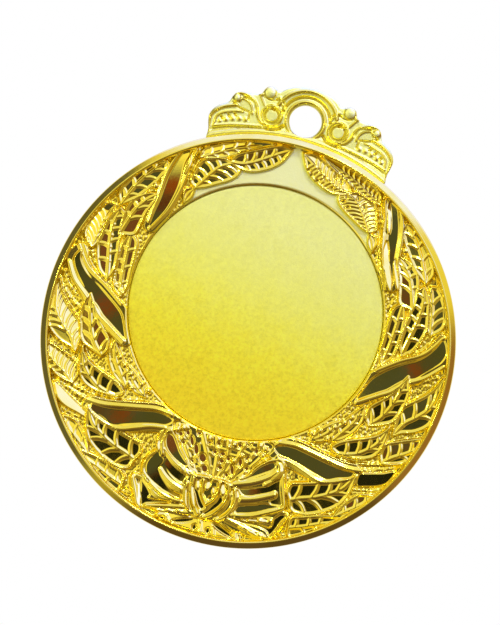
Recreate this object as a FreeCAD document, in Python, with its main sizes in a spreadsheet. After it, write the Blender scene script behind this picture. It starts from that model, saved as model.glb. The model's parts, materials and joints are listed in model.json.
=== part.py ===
import FreeCAD, Part
import math
import os
import Sketcher
from FreeCAD import Vector, Placement, Rotation

# Hanging medal, 60 mm: a plated casting with a wreath, three ribbon bands a side and a bow in relief,
# a scroll-work hanger on top of the rim, and a blank frosted disc bonded into a round recess.
# Frame: origin at the centre of the hanging eyelet, +Z up, the face looks along -Y, the back along +Y.

doc = FreeCAD.newDocument("Medal")

# ---------------------------------------------------------------- driving dimensions (mm)
sheet = doc.addObject("Spreadsheet::Sheet", "Dims")
ROWS = [
    ("disc_radius", 30.0, "outer radius of the casting"),
    ("rim_inner_radius", 28.2, "inner foot of the rounded rim"),
    ("rim_mid_radius", 29.1, "crest of the rounded rim"),
    ("rim_spring", 1.3, "how far in front of the frame plane the rim starts to round"),
    ("floor_front", 0.6, "wreath floor, in front of the frame plane"),
    ("back_plane", 1.2, "back edge, behind the frame plane"),
    ("back_field", 1.0, "recessed back field, behind the frame plane"),
    ("back_field_radius", 26.8, "radius of the back field"),
    ("edge_chamfer", 0.2, "chamfer of the back edge"),
    ("eyelet_rise", 32.8, "eyelet centre above the disc centre"),
    ("recess_rise", 4.2, "recess centre above the disc centre"),
    ("recess_radius", 18.5, "radius of the recess"),
    ("recess_floor", 0.35, "recess floor, behind the frame plane"),
    ("relief_foot", 0.5, "start of the raised work, inside the floor"),
    ("leaf_low", 0.25, "lower leaves, from the foot"),
    ("leaf_high", 0.45, "upper leaves, from the foot"),
    ("band_high", 0.65, "ribbon bands, from the foot"),
    ("tail_high", 0.8, "ribbon tails, from the foot"),
    ("loop_high", 1.0, "bow loops, from the foot"),
    ("knot_high", 1.3, "bow knot, from the foot"),
    ("insert_radius", 18.35, "radius of the centre disc"),
    ("insert_front", 0.2, "front of the centre disc, in front of the frame plane"),
    ("insert_back", 0.3, "back of the centre disc, behind the frame plane"),
    ("insert_chamfer", 0.15, "chamfer round the front of the centre disc"),
    ("film_radius", 17.8, "radius of the bond film"),
    ("film_thickness", 0.05, "thickness of the bond film"),
    ("hanger_back", 1.0, "back of the hanger plate, behind the frame plane"),
    ("hanger_thickness", 1.8, "hanger plate"),
    ("eyelet_radius", 2.35, "hanging hole"),
    ("collar_radius", 3.0, "outside of the collar round the hole"),
    ("collar_height", 0.4, "collar above the plate"),
    ("strap_height", 0.35, "foot band and panels above the plate"),
    ("volute_radius", 1.45, "ring of the volute"),
    ("volute_wire", 0.4, "section radius of the volute ring"),
    ("top_ball", 0.8, "ball beside the eyelet"),
    ("side_ball", 0.7, "ball at the end of the outer scroll"),
    ("volute_ball", 0.7, "ball inside the volute"),
]
for i, (alias, value, words) in enumerate(ROWS, start=1):
    sheet.set("A%d" % i, alias)
    sheet.set("B%d" % i, str(value))
    sheet.set("C%d" % i, words)
    sheet.setAlias("B%d" % i, alias)
doc.recompute()


def dim(alias):
    return float(sheet.get(alias))


# ---------------------------------------------------------------- helpers
def new_body(name, z_rule=None):
    body = doc.addObject("PartDesign::Body", name)
    body.Label = name
    if z_rule is not None:
        body.setExpression("Placement.Base.z", z_rule)
    return body


def plane(body, role):
    return [f for f in body.Origin.OriginFeatures if f.Role == role][0]


def front_sketch(body, name, offset_rule):
    """Sketch seen from the front: local x is +X, local y is +Z, its normal looks along -Y."""
    sk = body.newObject("Sketcher::SketchObject", name)
    sk.AttachmentSupport = (plane(body, "XZ_Plane"), [""])
    sk.MapMode = "FlatFace"
    sk.setExpression("AttachmentOffset.Base.z", offset_rule)
    return sk


def side_sketch(body, name):
    """Half section of a turned shape: local x is +Y (to the back), local y is the radius."""
    sk = body.newObject("Sketcher::SketchObject", name)
    sk.AttachmentSupport = (plane(body, "YZ_Plane"), [""])
    sk.MapMode = "FlatFace"
    return sk


def place(sk, geo, pos, axis, rule, value):
    """Tie one coordinate of a sketch point to a rule; the distance is kept positive by its order."""
    kind = "DistanceX" if axis == "x" else "DistanceY"
    if value >= 0:
        n = sk.addConstraint(Sketcher.Constraint(kind, -1, 1, geo, pos, value))
    else:
        n = sk.addConstraint(Sketcher.Constraint(kind, geo, pos, -1, 1, -value))
        rule = "-(%s)" % rule
    sk.setExpression("Constraints[%d]" % n, rule)


def profile(sk, points):
    """Closed outline; points are (x rule, x, y rule, y), rules may be None for a coordinate on an axis."""
    n = len(points)
    for k in range(n):
        a, b = points[k], points[(k + 1) % n]
        sk.addGeometry(Part.LineSegment(Vector(a[1], a[3], 0), Vector(b[1], b[3], 0)), False)
    for k in range(n):
        sk.addConstraint(Sketcher.Constraint("Coincident", k, 2, (k + 1) % n, 1))
    for k in range(n):
        xr, x, yr, y = points[k]
        if yr is None:
            sk.addConstraint(Sketcher.Constraint("PointOnObject", k, 1, -1))
        else:
            place(sk, k, 1, "y", yr, y)
        place(sk, k, 1, "x", xr, x)


def polygon(sk, points):
    """Closed free-form outline of straight runs, its corners joined."""
    first = sk.GeometryCount
    n = len(points)
    for k in range(n):
        a, b = points[k], points[(k + 1) % n]
        sk.addGeometry(Part.LineSegment(Vector(a[0], a[1], 0), Vector(b[0], b[1], 0)), False)
    for k in range(n):
        sk.addConstraint(Sketcher.Constraint("Coincident", first + k, 2, first + (k + 1) % n, 1))


def circle(sk, x, z, rule, radius, z_rule=None):
    g = sk.addGeometry(Part.Circle(Vector(x, z, 0), Vector(0, 0, 1), radius), False)
    n = sk.addConstraint(Sketcher.Constraint("Radius", g, radius))
    sk.setExpression("Constraints[%d]" % n, rule)
    if z_rule is None and abs(x) < 1e-9 and abs(z) < 1e-9:
        sk.addConstraint(Sketcher.Constraint("Coincident", g, 3, -1, 1))
    else:
        sk.addConstraint(Sketcher.Constraint("PointOnObject", g, 3, -2))
        place(sk, g, 3, "y", z_rule if z_rule else str(z), z)


def pad(body, sk, name, rule):
    p = body.newObject("PartDesign::Pad", name)
    p.Profile = sk
    p.setExpression("Length", rule)
    p.Refine = False
    sk.Visibility = False
    return p


def pocket(body, sk, name, rule):
    p = body.newObject("PartDesign::Pocket", name)
    p.Profile = sk
    p.setExpression("Length", rule)
    sk.Visibility = False
    return p


def both_halves(sk, points):
    """The outline and its mirror image across the upright middle plane."""
    polygon(sk, points)
    polygon(sk, [(-x, z) for x, z in reversed(points)])


def turned(body, sk, name):
    r = body.newObject("PartDesign::Revolution", name)
    r.Profile = sk
    r.ReferenceAxis = (sk, ["H_Axis"])
    r.Angle = 360.0
    return r


# ---------------------------------------------------------------- relief outlines, right half
# Coordinates from the disc centre: x to the right, z towards the hanger.
# A leaf is (rib from stalk to tip, left edge, right edge).
LEAVES = {
    "a0": ([(14, 16.9), (13.8, 18.2), (13, 19.4)],
           [(13.2, 18.1)],
           [(14.35, 18.8)]),
    "a1": ([(12.9, 19.5), (12, 20.9), (11.2, 22.1), (10.2, 23.3), (8.6, 24.2)],
           [(11.6, 20), (10.2, 20.8), (8.8, 21.6), (7.6, 22.7), (7.4, 23.7)],
           [(13.8, 20.2), (13.5, 21.8), (12.9, 23.3), (11.2, 24.1), (9.8, 24.5)]),
    "a2": ([(9, 24.3), (7.2, 24.5), (5.6, 25.2), (4, 26.1), (2.4, 27), (0.9, 27.8)],
           [(7.4, 23.8), (5.8, 23.8), (4.2, 24.4), (2.9, 25.2), (1.8, 26.2)],
           [(8.4, 25.3), (7, 26.1), (5.4, 26.8), (3.6, 27.6), (2.2, 28)]),
    "a3": ([(13.3, 23.6), (11.6, 24.6), (9.8, 25.6), (7.8, 26.5), (5.6, 27.3), (3.6, 28.1)],
           [(11.6, 24), (9.8, 24.7), (8.2, 25.6), (6.4, 26.4), (4.8, 27.2)],
           [(13, 24.9), (11.2, 26), (9.2, 27), (7, 27.8), (5, 28.3)]),
    "b1": ([(21.9, 3.5), (22.4, 6.2), (22.9, 8.8), (23.1, 11.4), (22.5, 13.9)],
           [(21.3, 5.2), (21.4, 7.6), (21.6, 9.4), (21.3, 11.2), (21.5, 12.9)],
           [(23.3, 4.5), (24.1, 6.2), (24.5, 8), (24.2, 10), (23.6, 12.2)]),
    "b2": ([(19.5, 1.5), (19.9, 4.2), (20.1, 6.6), (20.2, 8.8), (20.3, 10.9)],
           [(18.95, 3.2), (18.95, 5.6), (18.95, 8), (19.2, 10)],
           [(20.7, 2.8), (21.1, 4.8), (21.2, 7), (21, 9.2)]),
    "b3": ([(21.9, 10.3), (21.2, 12.5), (20.4, 14.5), (19.3, 16), (18, 17.2)],
           [(19.8, 10.8), (19.3, 12.4), (18.9, 14.2), (18.2, 15.9)],
           [(21.9, 12.9), (21.4, 15), (20.2, 16.4), (19, 17.1)]),
    "b4": ([(22.6, 14.3), (21.7, 16.3), (20.7, 18.2), (19.4, 20), (17.6, 21.9)],
           [(20.8, 15.9), (19.4, 17.6), (18.3, 19.2), (17.5, 20.8)],
           [(23.1, 15.8), (22.3, 17.8), (21.2, 19.6), (19.6, 21.3)]),
    "b5": ([(25.2, 7.3), (24.8, 9.4), (24.3, 11.5), (23.4, 14)],
           [(24.6, 8.2), (24.2, 10), (23.6, 12)],
           [(26.4, 8.8), (26.3, 10.6), (25.4, 12.6), (24.2, 14)]),
    "b6": ([(27.1, 8.6), (26.6, 11), (25.4, 13.8), (23.8, 16.4)],
           [(26.4, 10.2), (25.5, 12.6), (24.2, 15)],
           [(27.3, 10.4), (26.2, 13.2), (24.9, 15.4)]),
    "c1": ([(23.7, -7.9), (24.8, -5.9), (26.2, -4.5), (27.5, -2.7), (28.1, -0.4), (28.3, 1.9)],
           [(23.6, -5.6), (24, -3.7), (25.3, -2.5), (26.6, -1.2), (27.5, 0.2)],
           [(24.6, -7.3), (26.4, -6.5), (28, -5), (28.5, -2.6), (28.6, -0.2)]),
    "c2": ([(23, -12.2), (24.3, -11), (26, -9.8), (27.4, -8.6), (28.2, -7)],
           [(22.6, -10.9), (22.9, -9.6), (24.7, -8.6), (26.5, -7.7)],
           [(24.6, -11.8), (26.2, -10.9), (27.4, -9.8)]),
    "c3": ([(19.9, -7.4), (21.3, -5.9), (22.4, -3.8), (23.1, -1.4), (23.7, 0.9)],
           [(19.3, -6.4), (19.5, -4.8), (20.8, -3.4), (22.1, -2), (23, -0.3)],
           [(21.6, -6.8), (23.2, -5.9), (24, -3.8), (24.4, -1.6)]),
    "c4": ([(16.6, -12.5), (17.8, -12.3), (19.3, -11.8), (20.7, -10.8), (22, -9.3), (22.9, -6.7)],
           [(15.6, -11.8), (16.4, -10.9), (18, -10.1), (19.6, -9.5), (21.4, -8.6), (22.4, -7.6)],
           [(20.4, -12.2), (21.9, -11.3), (22.7, -9.3)]),
    "c5": ([(15.4, -10.9), (16.6, -9.2), (17.8, -7.4), (18.6, -4.9)],
           [(15.2, -9.6), (16.4, -7.9), (17.6, -6.2)],
           [(16.8, -10.2), (18.2, -8.6), (18.9, -6.8)]),
    "c6": ([(12.4, -11.6), (13.8, -10.6), (14.9, -9.4), (15.7, -7.9)],
           [(12.9, -10.4), (14.3, -8.9)],
           [(14, -11.2), (15.3, -9.9)]),
    "d1": ([(11.6, -20.7), (13, -20.1), (15, -19.4), (16.9, -18.4), (18.6, -17.1), (20, -14.8)],
           [(11, -19.6), (11.2, -18.4), (12.6, -17.9), (15, -17.2), (17.6, -16.4), (19, -15.7)],
           [(12.2, -22), (14, -22.1), (16.3, -21.1), (18.4, -19.5), (19.6, -17.4)]),
    "d2": ([(12.3, -24.4), (14.2, -23.7), (16.2, -22.8), (18.2, -22), (20, -20.9)],
           [(12.4, -23.2), (14.2, -22.4), (16.4, -21.6), (18.4, -21.1)],
           [(12.6, -25.4), (14.6, -24.7), (16.8, -23.6), (18.8, -22.3)]),
    "d3": ([(18, -21.3), (19.8, -19.9), (21.4, -18.6), (22.9, -16.9)],
           [(18.6, -20), (19.6, -18.6), (21, -17.3)],
           [(20.2, -20.3), (21.7, -18.9), (23, -17.4)]),
}
# leaves that lie under their neighbours
LOW = ("a0", "a3", "b2", "b5", "b6", "c2", "c5", "c6", "d2", "d3")

BANDS = {
    "upper": [(14.8, 24.5), (15.3, 22.5), (15.3, 20.5), (15.4, 19), (15.8, 17), (16.3, 15.3), (17.1, 13.7), (17.9, 12.4), (17.95, 13.2), (17.7, 14.8), (17.4, 16.5), (17.3, 18.2), (17.1, 20.2), (16.6, 22.3), (15.9, 24)],
    "middle": [(17.3, -4.2), (17.9, -2.5), (18.7, -0.8), (19.8, 0.4), (21.2, 1.5), (22.8, 2.5), (24.3, 3.3), (25.5, 4.4), (26.4, 5.7), (27.2, 7.2), (28.1, 5.6), (27.8, 4.2), (26.9, 3.1), (25.8, 2), (24.6, 0.8), (23.5, 0.4), (22.3, -0.6), (21.2, -1.7), (20, -2.5), (18.5, -3.5)],
    "lower": [(7.6, -13.9), (8.8, -13.3), (10.2, -13.2), (12, -13.5), (14, -13.9), (16, -14.3), (18, -14.55), (20, -14.4), (21.8, -13.9), (23.6, -13.4), (25.3, -12.7), (25.1, -13.9), (24.4, -15), (23.3, -15.7), (21.6, -16.2), (20.3, -16.5), (20, -15.4), (19, -15.2), (17.5, -15.9), (16, -16.5), (14.6, -16.2), (13.2, -15.8), (11.8, -15.4), (10, -15), (8.4, -14.7)],
}
BOW_LOOP = [(2.2, -20.7), (4.0, -19.6), (5.2, -17.6), (6.6, -16.2), (8.2, -15.4), (9.2, -15.8), (9.5, -17.2),
            (9.1, -18.4), (9.9, -19.6), (10.4, -21.9), (9.0, -23.1), (6.5, -24.0), (4.4, -24.5), (2.4, -24.0)]
BOW_TAIL = [(1.2, -25.4), (4.4, -24.9), (8.4, -24.1), (9.9, -22.9), (11.4, -22.9), (10.8, -24.4), (10.2, -26.4),
            (8.4, -27.1), (5.4, -27.0), (2.4, -26.7)]
KNOT = [(-3.2, -21.0), (-1.6, -20.5), (1.6, -20.5), (3.2, -21.0), (3.8, -22.6), (3.4, -24.4), (2.2, -25.8),
        (0.0, -26.3), (-2.2, -25.8), (-3.4, -24.4), (-3.8, -22.6)]

# ---------------------------------------------------------------- casting
casting = new_body("medal_body", "-Dims.eyelet_rise")
R, RI, RM = dim("disc_radius"), dim("rim_inner_radius"), dim("rim_mid_radius")
SP, FF, BP, BF = dim("rim_spring"), dim("floor_front"), dim("back_plane"), dim("back_field")
BR, CH = dim("back_field_radius"), dim("edge_chamfer")
sk = side_sketch(casting, "CastingSection")
pts = [
    ("Dims.back_field", BF, None, 0.0),
    ("Dims.back_field", BF, "Dims.back_field_radius - 0.2", BR - 0.2),
    ("Dims.back_plane", BP, "Dims.back_field_radius", BR),
    ("Dims.back_plane", BP, "Dims.disc_radius - Dims.edge_chamfer", R - CH),
    ("Dims.back_plane - Dims.edge_chamfer", BP - CH, "Dims.disc_radius", R),
    ("-Dims.rim_spring", -SP, "Dims.disc_radius", R),
    ("-Dims.rim_spring", -SP, "Dims.rim_inner_radius", RI),
    ("-Dims.floor_front", -FF, "Dims.rim_inner_radius", RI),
    ("-Dims.floor_front", -FF, None, 0.0),
]
profile(sk, pts)
turn = turned(casting, sk, "CastingTurned")
doc.recompute()

# rounded rim: a half-round bead turned on top of the wall
sk = side_sketch(casting, "RimSection")
rr = (R - RI) / 2.0
sk.addGeometry(Part.ArcOfCircle(Part.Circle(Vector(-SP, RM, 0), Vector(0, 0, 1), rr), math.pi / 2, 3 * math.pi / 2), False)
sk.addGeometry(Part.LineSegment(Vector(-SP, RM - rr, 0), Vector(-SP, RM + rr, 0)), False)
sk.addConstraint(Sketcher.Constraint("Coincident", 0, 2, 1, 1))
sk.addConstraint(Sketcher.Constraint("Coincident", 0, 1, 1, 2))
place(sk, 1, 1, "x", "-Dims.rim_spring", -SP)
place(sk, 1, 2, "x", "-Dims.rim_spring", -SP)
place(sk, 1, 1, "y", "Dims.rim_inner_radius", RI)
place(sk, 1, 2, "y", "Dims.disc_radius", R)
place(sk, 0, 3, "x", "-Dims.rim_spring", -SP)
bead = turned(casting, sk, "RimBead")
doc.recompute()

for name, outline in BANDS.items():
    sk = front_sketch(casting, "Band_" + name, "Dims.relief_foot")
    both_halves(sk, outline)
    pad(casting, sk, "BandPad_" + name, "Dims.band_high")
for name, (rib, left, right) in LEAVES.items():
    sk = front_sketch(casting, "Leaf_" + name, "Dims.relief_foot")
    both_halves(sk, [rib[0]] + right + [rib[-1]] + left[::-1])
    pad(casting, sk, "LeafPad_" + name, "Dims.leaf_low" if name in LOW else "Dims.leaf_high")
for name, outline, rule in (("Tail", BOW_TAIL, "Dims.tail_high"), ("Loop", BOW_LOOP, "Dims.loop_high")):
    sk = front_sketch(casting, "Bow" + name, "Dims.relief_foot")
    both_halves(sk, outline)
    pad(casting, sk, "Bow%sPad" % name, rule)
doc.recompute()
sk = front_sketch(casting, "BowKnot", "Dims.relief_foot")
polygon(sk, KNOT)
knot = pad(casting, sk, "BowKnotPad", "Dims.knot_high")
doc.recompute()
before = casting.Shape.Volume
sk = front_sketch(casting, "Recess", "Dims.rim_spring + 2")
circle(sk, 0.0, dim("recess_rise"), "Dims.recess_radius", dim("recess_radius"), "Dims.recess_rise")
cut = pocket(casting, sk, "RecessPocket", "Dims.rim_spring + 2 + Dims.recess_floor")
doc.recompute()
casting.Tip = cut
doc.recompute()
removed = before - casting.Shape.Volume
wanted = math.pi * dim("recess_radius") ** 2 * (FF + dim("recess_floor"))
print("recess removes %.1f mm3, plain cylinder %.1f mm3" % (removed, wanted))
assert removed > 0.99 * wanted

# ---------------------------------------------------------------- hanger
# Heights in these outlines are from the disc centre; up() turns them into heights from the eyelet centre.
hanger = new_body("scroll_hanger")
RISE = dim("eyelet_rise")


def up(points):
    return [(x, z - RISE) for x, z in points]


HALF = [(13.2, 26.2), (13.3, 28.2), (13.6, 29.2), (13.75, 30.2), (13.4, 31.2), (12.8, 31.9), (12.0, 32.4), (11.35, 32.9),
        (11.1, 33.6), (10.7, 34.25), (10.0, 34.6), (9.0, 34.7), (8.2, 34.75), (7.6, 34.85), (7.1, 35.15), (6.9, 35.7),
        (6.5, 36.25), (5.85, 36.45), (5.2, 36.2), (4.6, 36.0), (3.7, 36.7), (2.6, 37.2), (1.3, 37.5), (0.0, 37.6)]
sk = front_sketch(hanger, "HangerOutline", "-Dims.hanger_back")
polygon(sk, up(HALF + [(-x, z) for x, z in HALF[-2::-1]]))
plate = pad(hanger, sk, "HangerPlate", "Dims.hanger_thickness")
doc.recompute()

# smooth foot band that runs parallel to the rim
sk = front_sketch(hanger, "FootBand", "Dims.hanger_thickness - Dims.hanger_back - 0.1")
steps = 24
ang = [math.pi / 2 + math.radians(25.6) * (1 - 2.0 * k / steps) for k in range(steps + 1)]
outer = [((R + 1.0) * math.cos(a), (R + 1.0) * math.sin(a)) for a in ang]
inner = [((R - 0.6) * math.cos(a), (R - 0.6) * math.sin(a)) for a in reversed(ang)]
polygon(sk, up(outer + inner))
pad(hanger, sk, "FootBandPad", "Dims.strap_height + 0.1")
doc.recompute()

# raised scroll work, both sides
FLUTES = [[(8.5, 30.6), (8.1, 31.8), (9.2, 31.75), (9.6, 30.9)], [(9.9, 30.8), (9.6, 31.7), (10.7, 31.7), (10.9, 30.8)],
          [(11.0, 30.3), (11.0, 31.6), (12.0, 31.2), (11.9, 30.1)], [(11.9, 29.5), (12.2, 31.0), (13.0, 30.5), (12.9, 29.5)]]
sk = front_sketch(hanger, "Flutes", "Dims.hanger_thickness - Dims.hanger_back - 0.1")
for f in FLUTES:
    both_halves(sk, up(f))
pad(hanger, sk, "FlutesPad", "Dims.strap_height + 0.1")
sk = front_sketch(hanger, "OuterScroll", "Dims.hanger_thickness - Dims.hanger_back - 0.1")
both_halves(sk, up([(7.2, 31.9), (8.0, 32.9), (9.4, 33.6), (10.0, 34.4), (8.6, 34.6), (7.4, 34.0), (6.9, 33.0), (6.95, 31.6)]))
pad(hanger, sk, "OuterScrollPad", "Dims.strap_height + 0.1")


def ball(name, x, z, rule, y):
    s = hanger.newObject("PartDesign::AdditiveSphere", name)
    s.setExpression("Radius", rule)
    s.Placement = Placement(Vector(x, y, z - RISE), Rotation())
    return s


FRONT = dim("hanger_back") - dim("hanger_thickness")
for side, x in (("Right", 1.0), ("Left", -1.0)):
    ball("TopBall" + side, 5.9 * x, 35.5, "Dims.top_ball", FRONT + 0.2)
    ball("SideBall" + side, 10.35 * x, 33.7, "Dims.side_ball", FRONT + 0.2)
    ball("VoluteBall" + side, 4.95 * x, 32.3, "Dims.volute_ball", FRONT + 0.1)
    ring = hanger.newObject("PartDesign::AdditiveTorus", "VoluteRing" + side)
    ring.setExpression("Radius1", "Dims.volute_radius")
    ring.setExpression("Radius2", "Dims.volute_wire")
    ring.Placement = Placement(Vector(4.95 * x, FRONT, 32.4 - RISE), Rotation(Vector(1, 0, 0), 90))
doc.recompute()

# collar round the eyelet, then the hole through plate and collar
sk = front_sketch(hanger, "Collar", "Dims.hanger_thickness - Dims.hanger_back - 0.1")
circle(sk, 0.0, 0.0, "Dims.collar_radius", dim("collar_radius"))
pad(hanger, sk, "CollarPad", "Dims.collar_height + 0.1")
doc.recompute()
# the foot: everything inside the casting's wall goes, so hanger and casting meet face to face
sk = front_sketch(hanger, "Foot", "Dims.hanger_thickness - Dims.hanger_back + 1")
circle(sk, 0.0, -RISE, "Dims.disc_radius", R, "-Dims.eyelet_rise")
pocket(hanger, sk, "FootPocket", "Dims.hanger_thickness + 2")
doc.recompute()
before = hanger.Shape.Volume
sk = front_sketch(hanger, "Eyelet", "Dims.hanger_thickness - Dims.hanger_back + 1")
circle(sk, 0.0, 0.0, "Dims.eyelet_radius", dim("eyelet_radius"))
hole = pocket(hanger, sk, "EyeletPocket", "Dims.hanger_thickness + 2")
doc.recompute()
hanger.Tip = hole
doc.recompute()
removed = before - hanger.Shape.Volume
wanted = math.pi * dim("eyelet_radius") ** 2 * (dim("hanger_thickness") + dim("collar_height"))
print("eyelet removes %.2f mm3, cylinder %.2f mm3" % (removed, wanted))
assert removed > 0.9 * wanted

# ---------------------------------------------------------------- centre disc and its bond film
insert = new_body("centre_disc", "Dims.recess_rise - Dims.eyelet_rise")
IR, IF, IB, IC = dim("insert_radius"), dim("insert_front"), dim("insert_back"), dim("insert_chamfer")
sk = side_sketch(insert, "InsertSection")
profile(sk, [
    ("Dims.insert_back", IB, None, 0.0),
    ("Dims.insert_back", IB, "Dims.insert_radius", IR),
    ("Dims.insert_chamfer - Dims.insert_front", IC - IF, "Dims.insert_radius", IR),
    ("-Dims.insert_front", -IF, "Dims.insert_radius - Dims.insert_chamfer", IR - IC),
    ("-Dims.insert_front", -IF, None, 0.0),
])
turned(insert, sk, "InsertTurned")

film = new_body("adhesive_film", "Dims.recess_rise - Dims.eyelet_rise")
sk = front_sketch(film, "FilmOutline", "-Dims.recess_floor")
circle(sk, 0.0, 0.0, "Dims.film_radius", dim("film_radius"))
pad(film, sk, "FilmPad", "Dims.film_thickness")
doc.recompute()

# ---------------------------------------------------------------- checks and export
for obj in doc.Objects:
    if "Invalid" in obj.State or "Error" in obj.State:
        raise RuntimeError("%s failed: %s" % (obj.Name, obj.State))
parts = [casting, hanger, insert, film]
for p in parts:
    s = p.Shape
    if s.isNull() or not s.isValid() or len(s.Solids) != 1:
        raise RuntimeError("%s is not one sound solid" % p.Label)
    b = s.optimalBoundingBox()
    print("%-14s %9.1f mm3  x %.2f..%.2f  y %.2f..%.2f  z %.2f..%.2f" % (
        p.Label, s.Volume, b.XMin, b.XMax, b.YMin, b.YMax, b.ZMin, b.ZMax))
for i, a in enumerate(parts):
    for b in parts[i + 1:]:
        v = a.Shape.common(b.Shape).Volume
        if v > 1e-6:
            print("overlap %s / %s: %.5f mm3" % (a.Label, b.Label, v))
os.makedirs("parts", exist_ok=True)
for p in parts:
    p.Shape.exportStep("parts/%s.step" % p.Label)
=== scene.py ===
import bpy
import json
import math
import numpy as np
from mathutils import Vector, Matrix
from mathutils.geometry import delaunay_2d_cdt


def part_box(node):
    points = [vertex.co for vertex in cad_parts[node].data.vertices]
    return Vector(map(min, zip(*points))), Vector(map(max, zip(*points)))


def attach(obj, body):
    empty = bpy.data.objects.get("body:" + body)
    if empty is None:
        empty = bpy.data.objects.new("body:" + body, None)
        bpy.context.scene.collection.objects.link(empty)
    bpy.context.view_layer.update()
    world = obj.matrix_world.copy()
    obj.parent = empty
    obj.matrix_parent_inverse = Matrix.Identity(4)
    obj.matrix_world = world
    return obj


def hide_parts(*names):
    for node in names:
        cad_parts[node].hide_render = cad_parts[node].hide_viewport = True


# Looks of the gilt medal. All relief is modelled as geometry: outlines are in millimetres from the disc's centre
# (x to the right, z towards the hanger), heights are in millimetres forward of the frame plane.

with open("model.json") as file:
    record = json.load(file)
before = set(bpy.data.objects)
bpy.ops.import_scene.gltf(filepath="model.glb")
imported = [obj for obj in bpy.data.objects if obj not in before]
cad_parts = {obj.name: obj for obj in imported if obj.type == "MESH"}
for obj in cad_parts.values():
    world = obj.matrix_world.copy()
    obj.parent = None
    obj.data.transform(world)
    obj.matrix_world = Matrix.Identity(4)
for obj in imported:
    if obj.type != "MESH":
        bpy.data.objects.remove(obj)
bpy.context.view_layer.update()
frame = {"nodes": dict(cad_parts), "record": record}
RECORD = frame["record"]
body_lo, body_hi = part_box("medal_body")
disc_lo, disc_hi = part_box("centre_disc")
hang_lo, hang_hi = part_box("scroll_hanger")
RISE = -(body_lo.z + body_hi.z) * 500.0          # eyelet above the disc centre
R_OUT = (body_hi.x - body_lo.x) * 500.0          # outside of the casting
RZ = (disc_lo.z + disc_hi.z) * 500.0 + RISE      # recess centre above the disc centre
R_REC = 18.5                                     # recess radius
R_RIM = 28.72                                    # inner foot of the rim
FLOOR = 0.6                                      # wreath floor


def smooth(a, b, v):
    t = np.clip((v - a) / (b - a), 0.0, 1.0)
    return t * t * (3.0 - 2.0 * t)


def bell(t):
    t = np.clip(np.abs(t), 0.0, 1.0)
    return (1.0 - t * t) ** 2


def tent(t, k=0.2):
    """Ridge with straight flanks and a small rounded crest."""
    t = np.abs(t)
    e = math.sqrt(1.0 + k * k) - k
    return np.clip(1.0 - (np.sqrt(t * t + k * k) - k) / e, 0.0, 1.0)


def catmull(points, closed=False, step=0.13):
    """Smooth line through points, evenly sampled."""
    p = np.array(points, float)
    if len(p) < 3 and not closed:
        n = max(2, int(np.linalg.norm(p[-1] - p[0]) / step) + 1)
        return np.linspace(p[0], p[-1], n)
    if closed:
        q = np.vstack([p[-1], p, p[0], p[1]])
    else:
        q = np.vstack([2 * p[0] - p[1], p, 2 * p[-1] - p[-2]])
    out = []
    for k in range(1, len(q) - 2):
        a, b, c, d = q[k - 1], q[k], q[k + 1], q[k + 2]
        n = max(1, int(np.linalg.norm(c - b) / step))
        ta = max(np.linalg.norm(b - a), 1e-6) ** 0.5
        tb = max(np.linalg.norm(c - b), 1e-6) ** 0.5
        tc = max(np.linalg.norm(d - c), 1e-6) ** 0.5
        m1 = (c - b) / tb - (c - a) / (ta + tb) + (b - a) / ta
        m2 = (d - c) / tc - (d - b) / (tb + tc) + (c - b) / tb
        m1, m2 = m1 * tb, m2 * tb
        u = np.linspace(0, 1, n + 1)[:-1][:, None]
        out.append((2 * u ** 3 - 3 * u ** 2 + 1) * b + (u ** 3 - 2 * u ** 2 + u) * m1
                   + (-2 * u ** 3 + 3 * u ** 2) * c + (u ** 3 - u ** 2) * m2)
    out = np.vstack(out)
    if not closed:
        out = np.vstack([out, p[-1]])
    return out


def flip(points, side):
    return [(side * x, z) for x, z in points]


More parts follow.
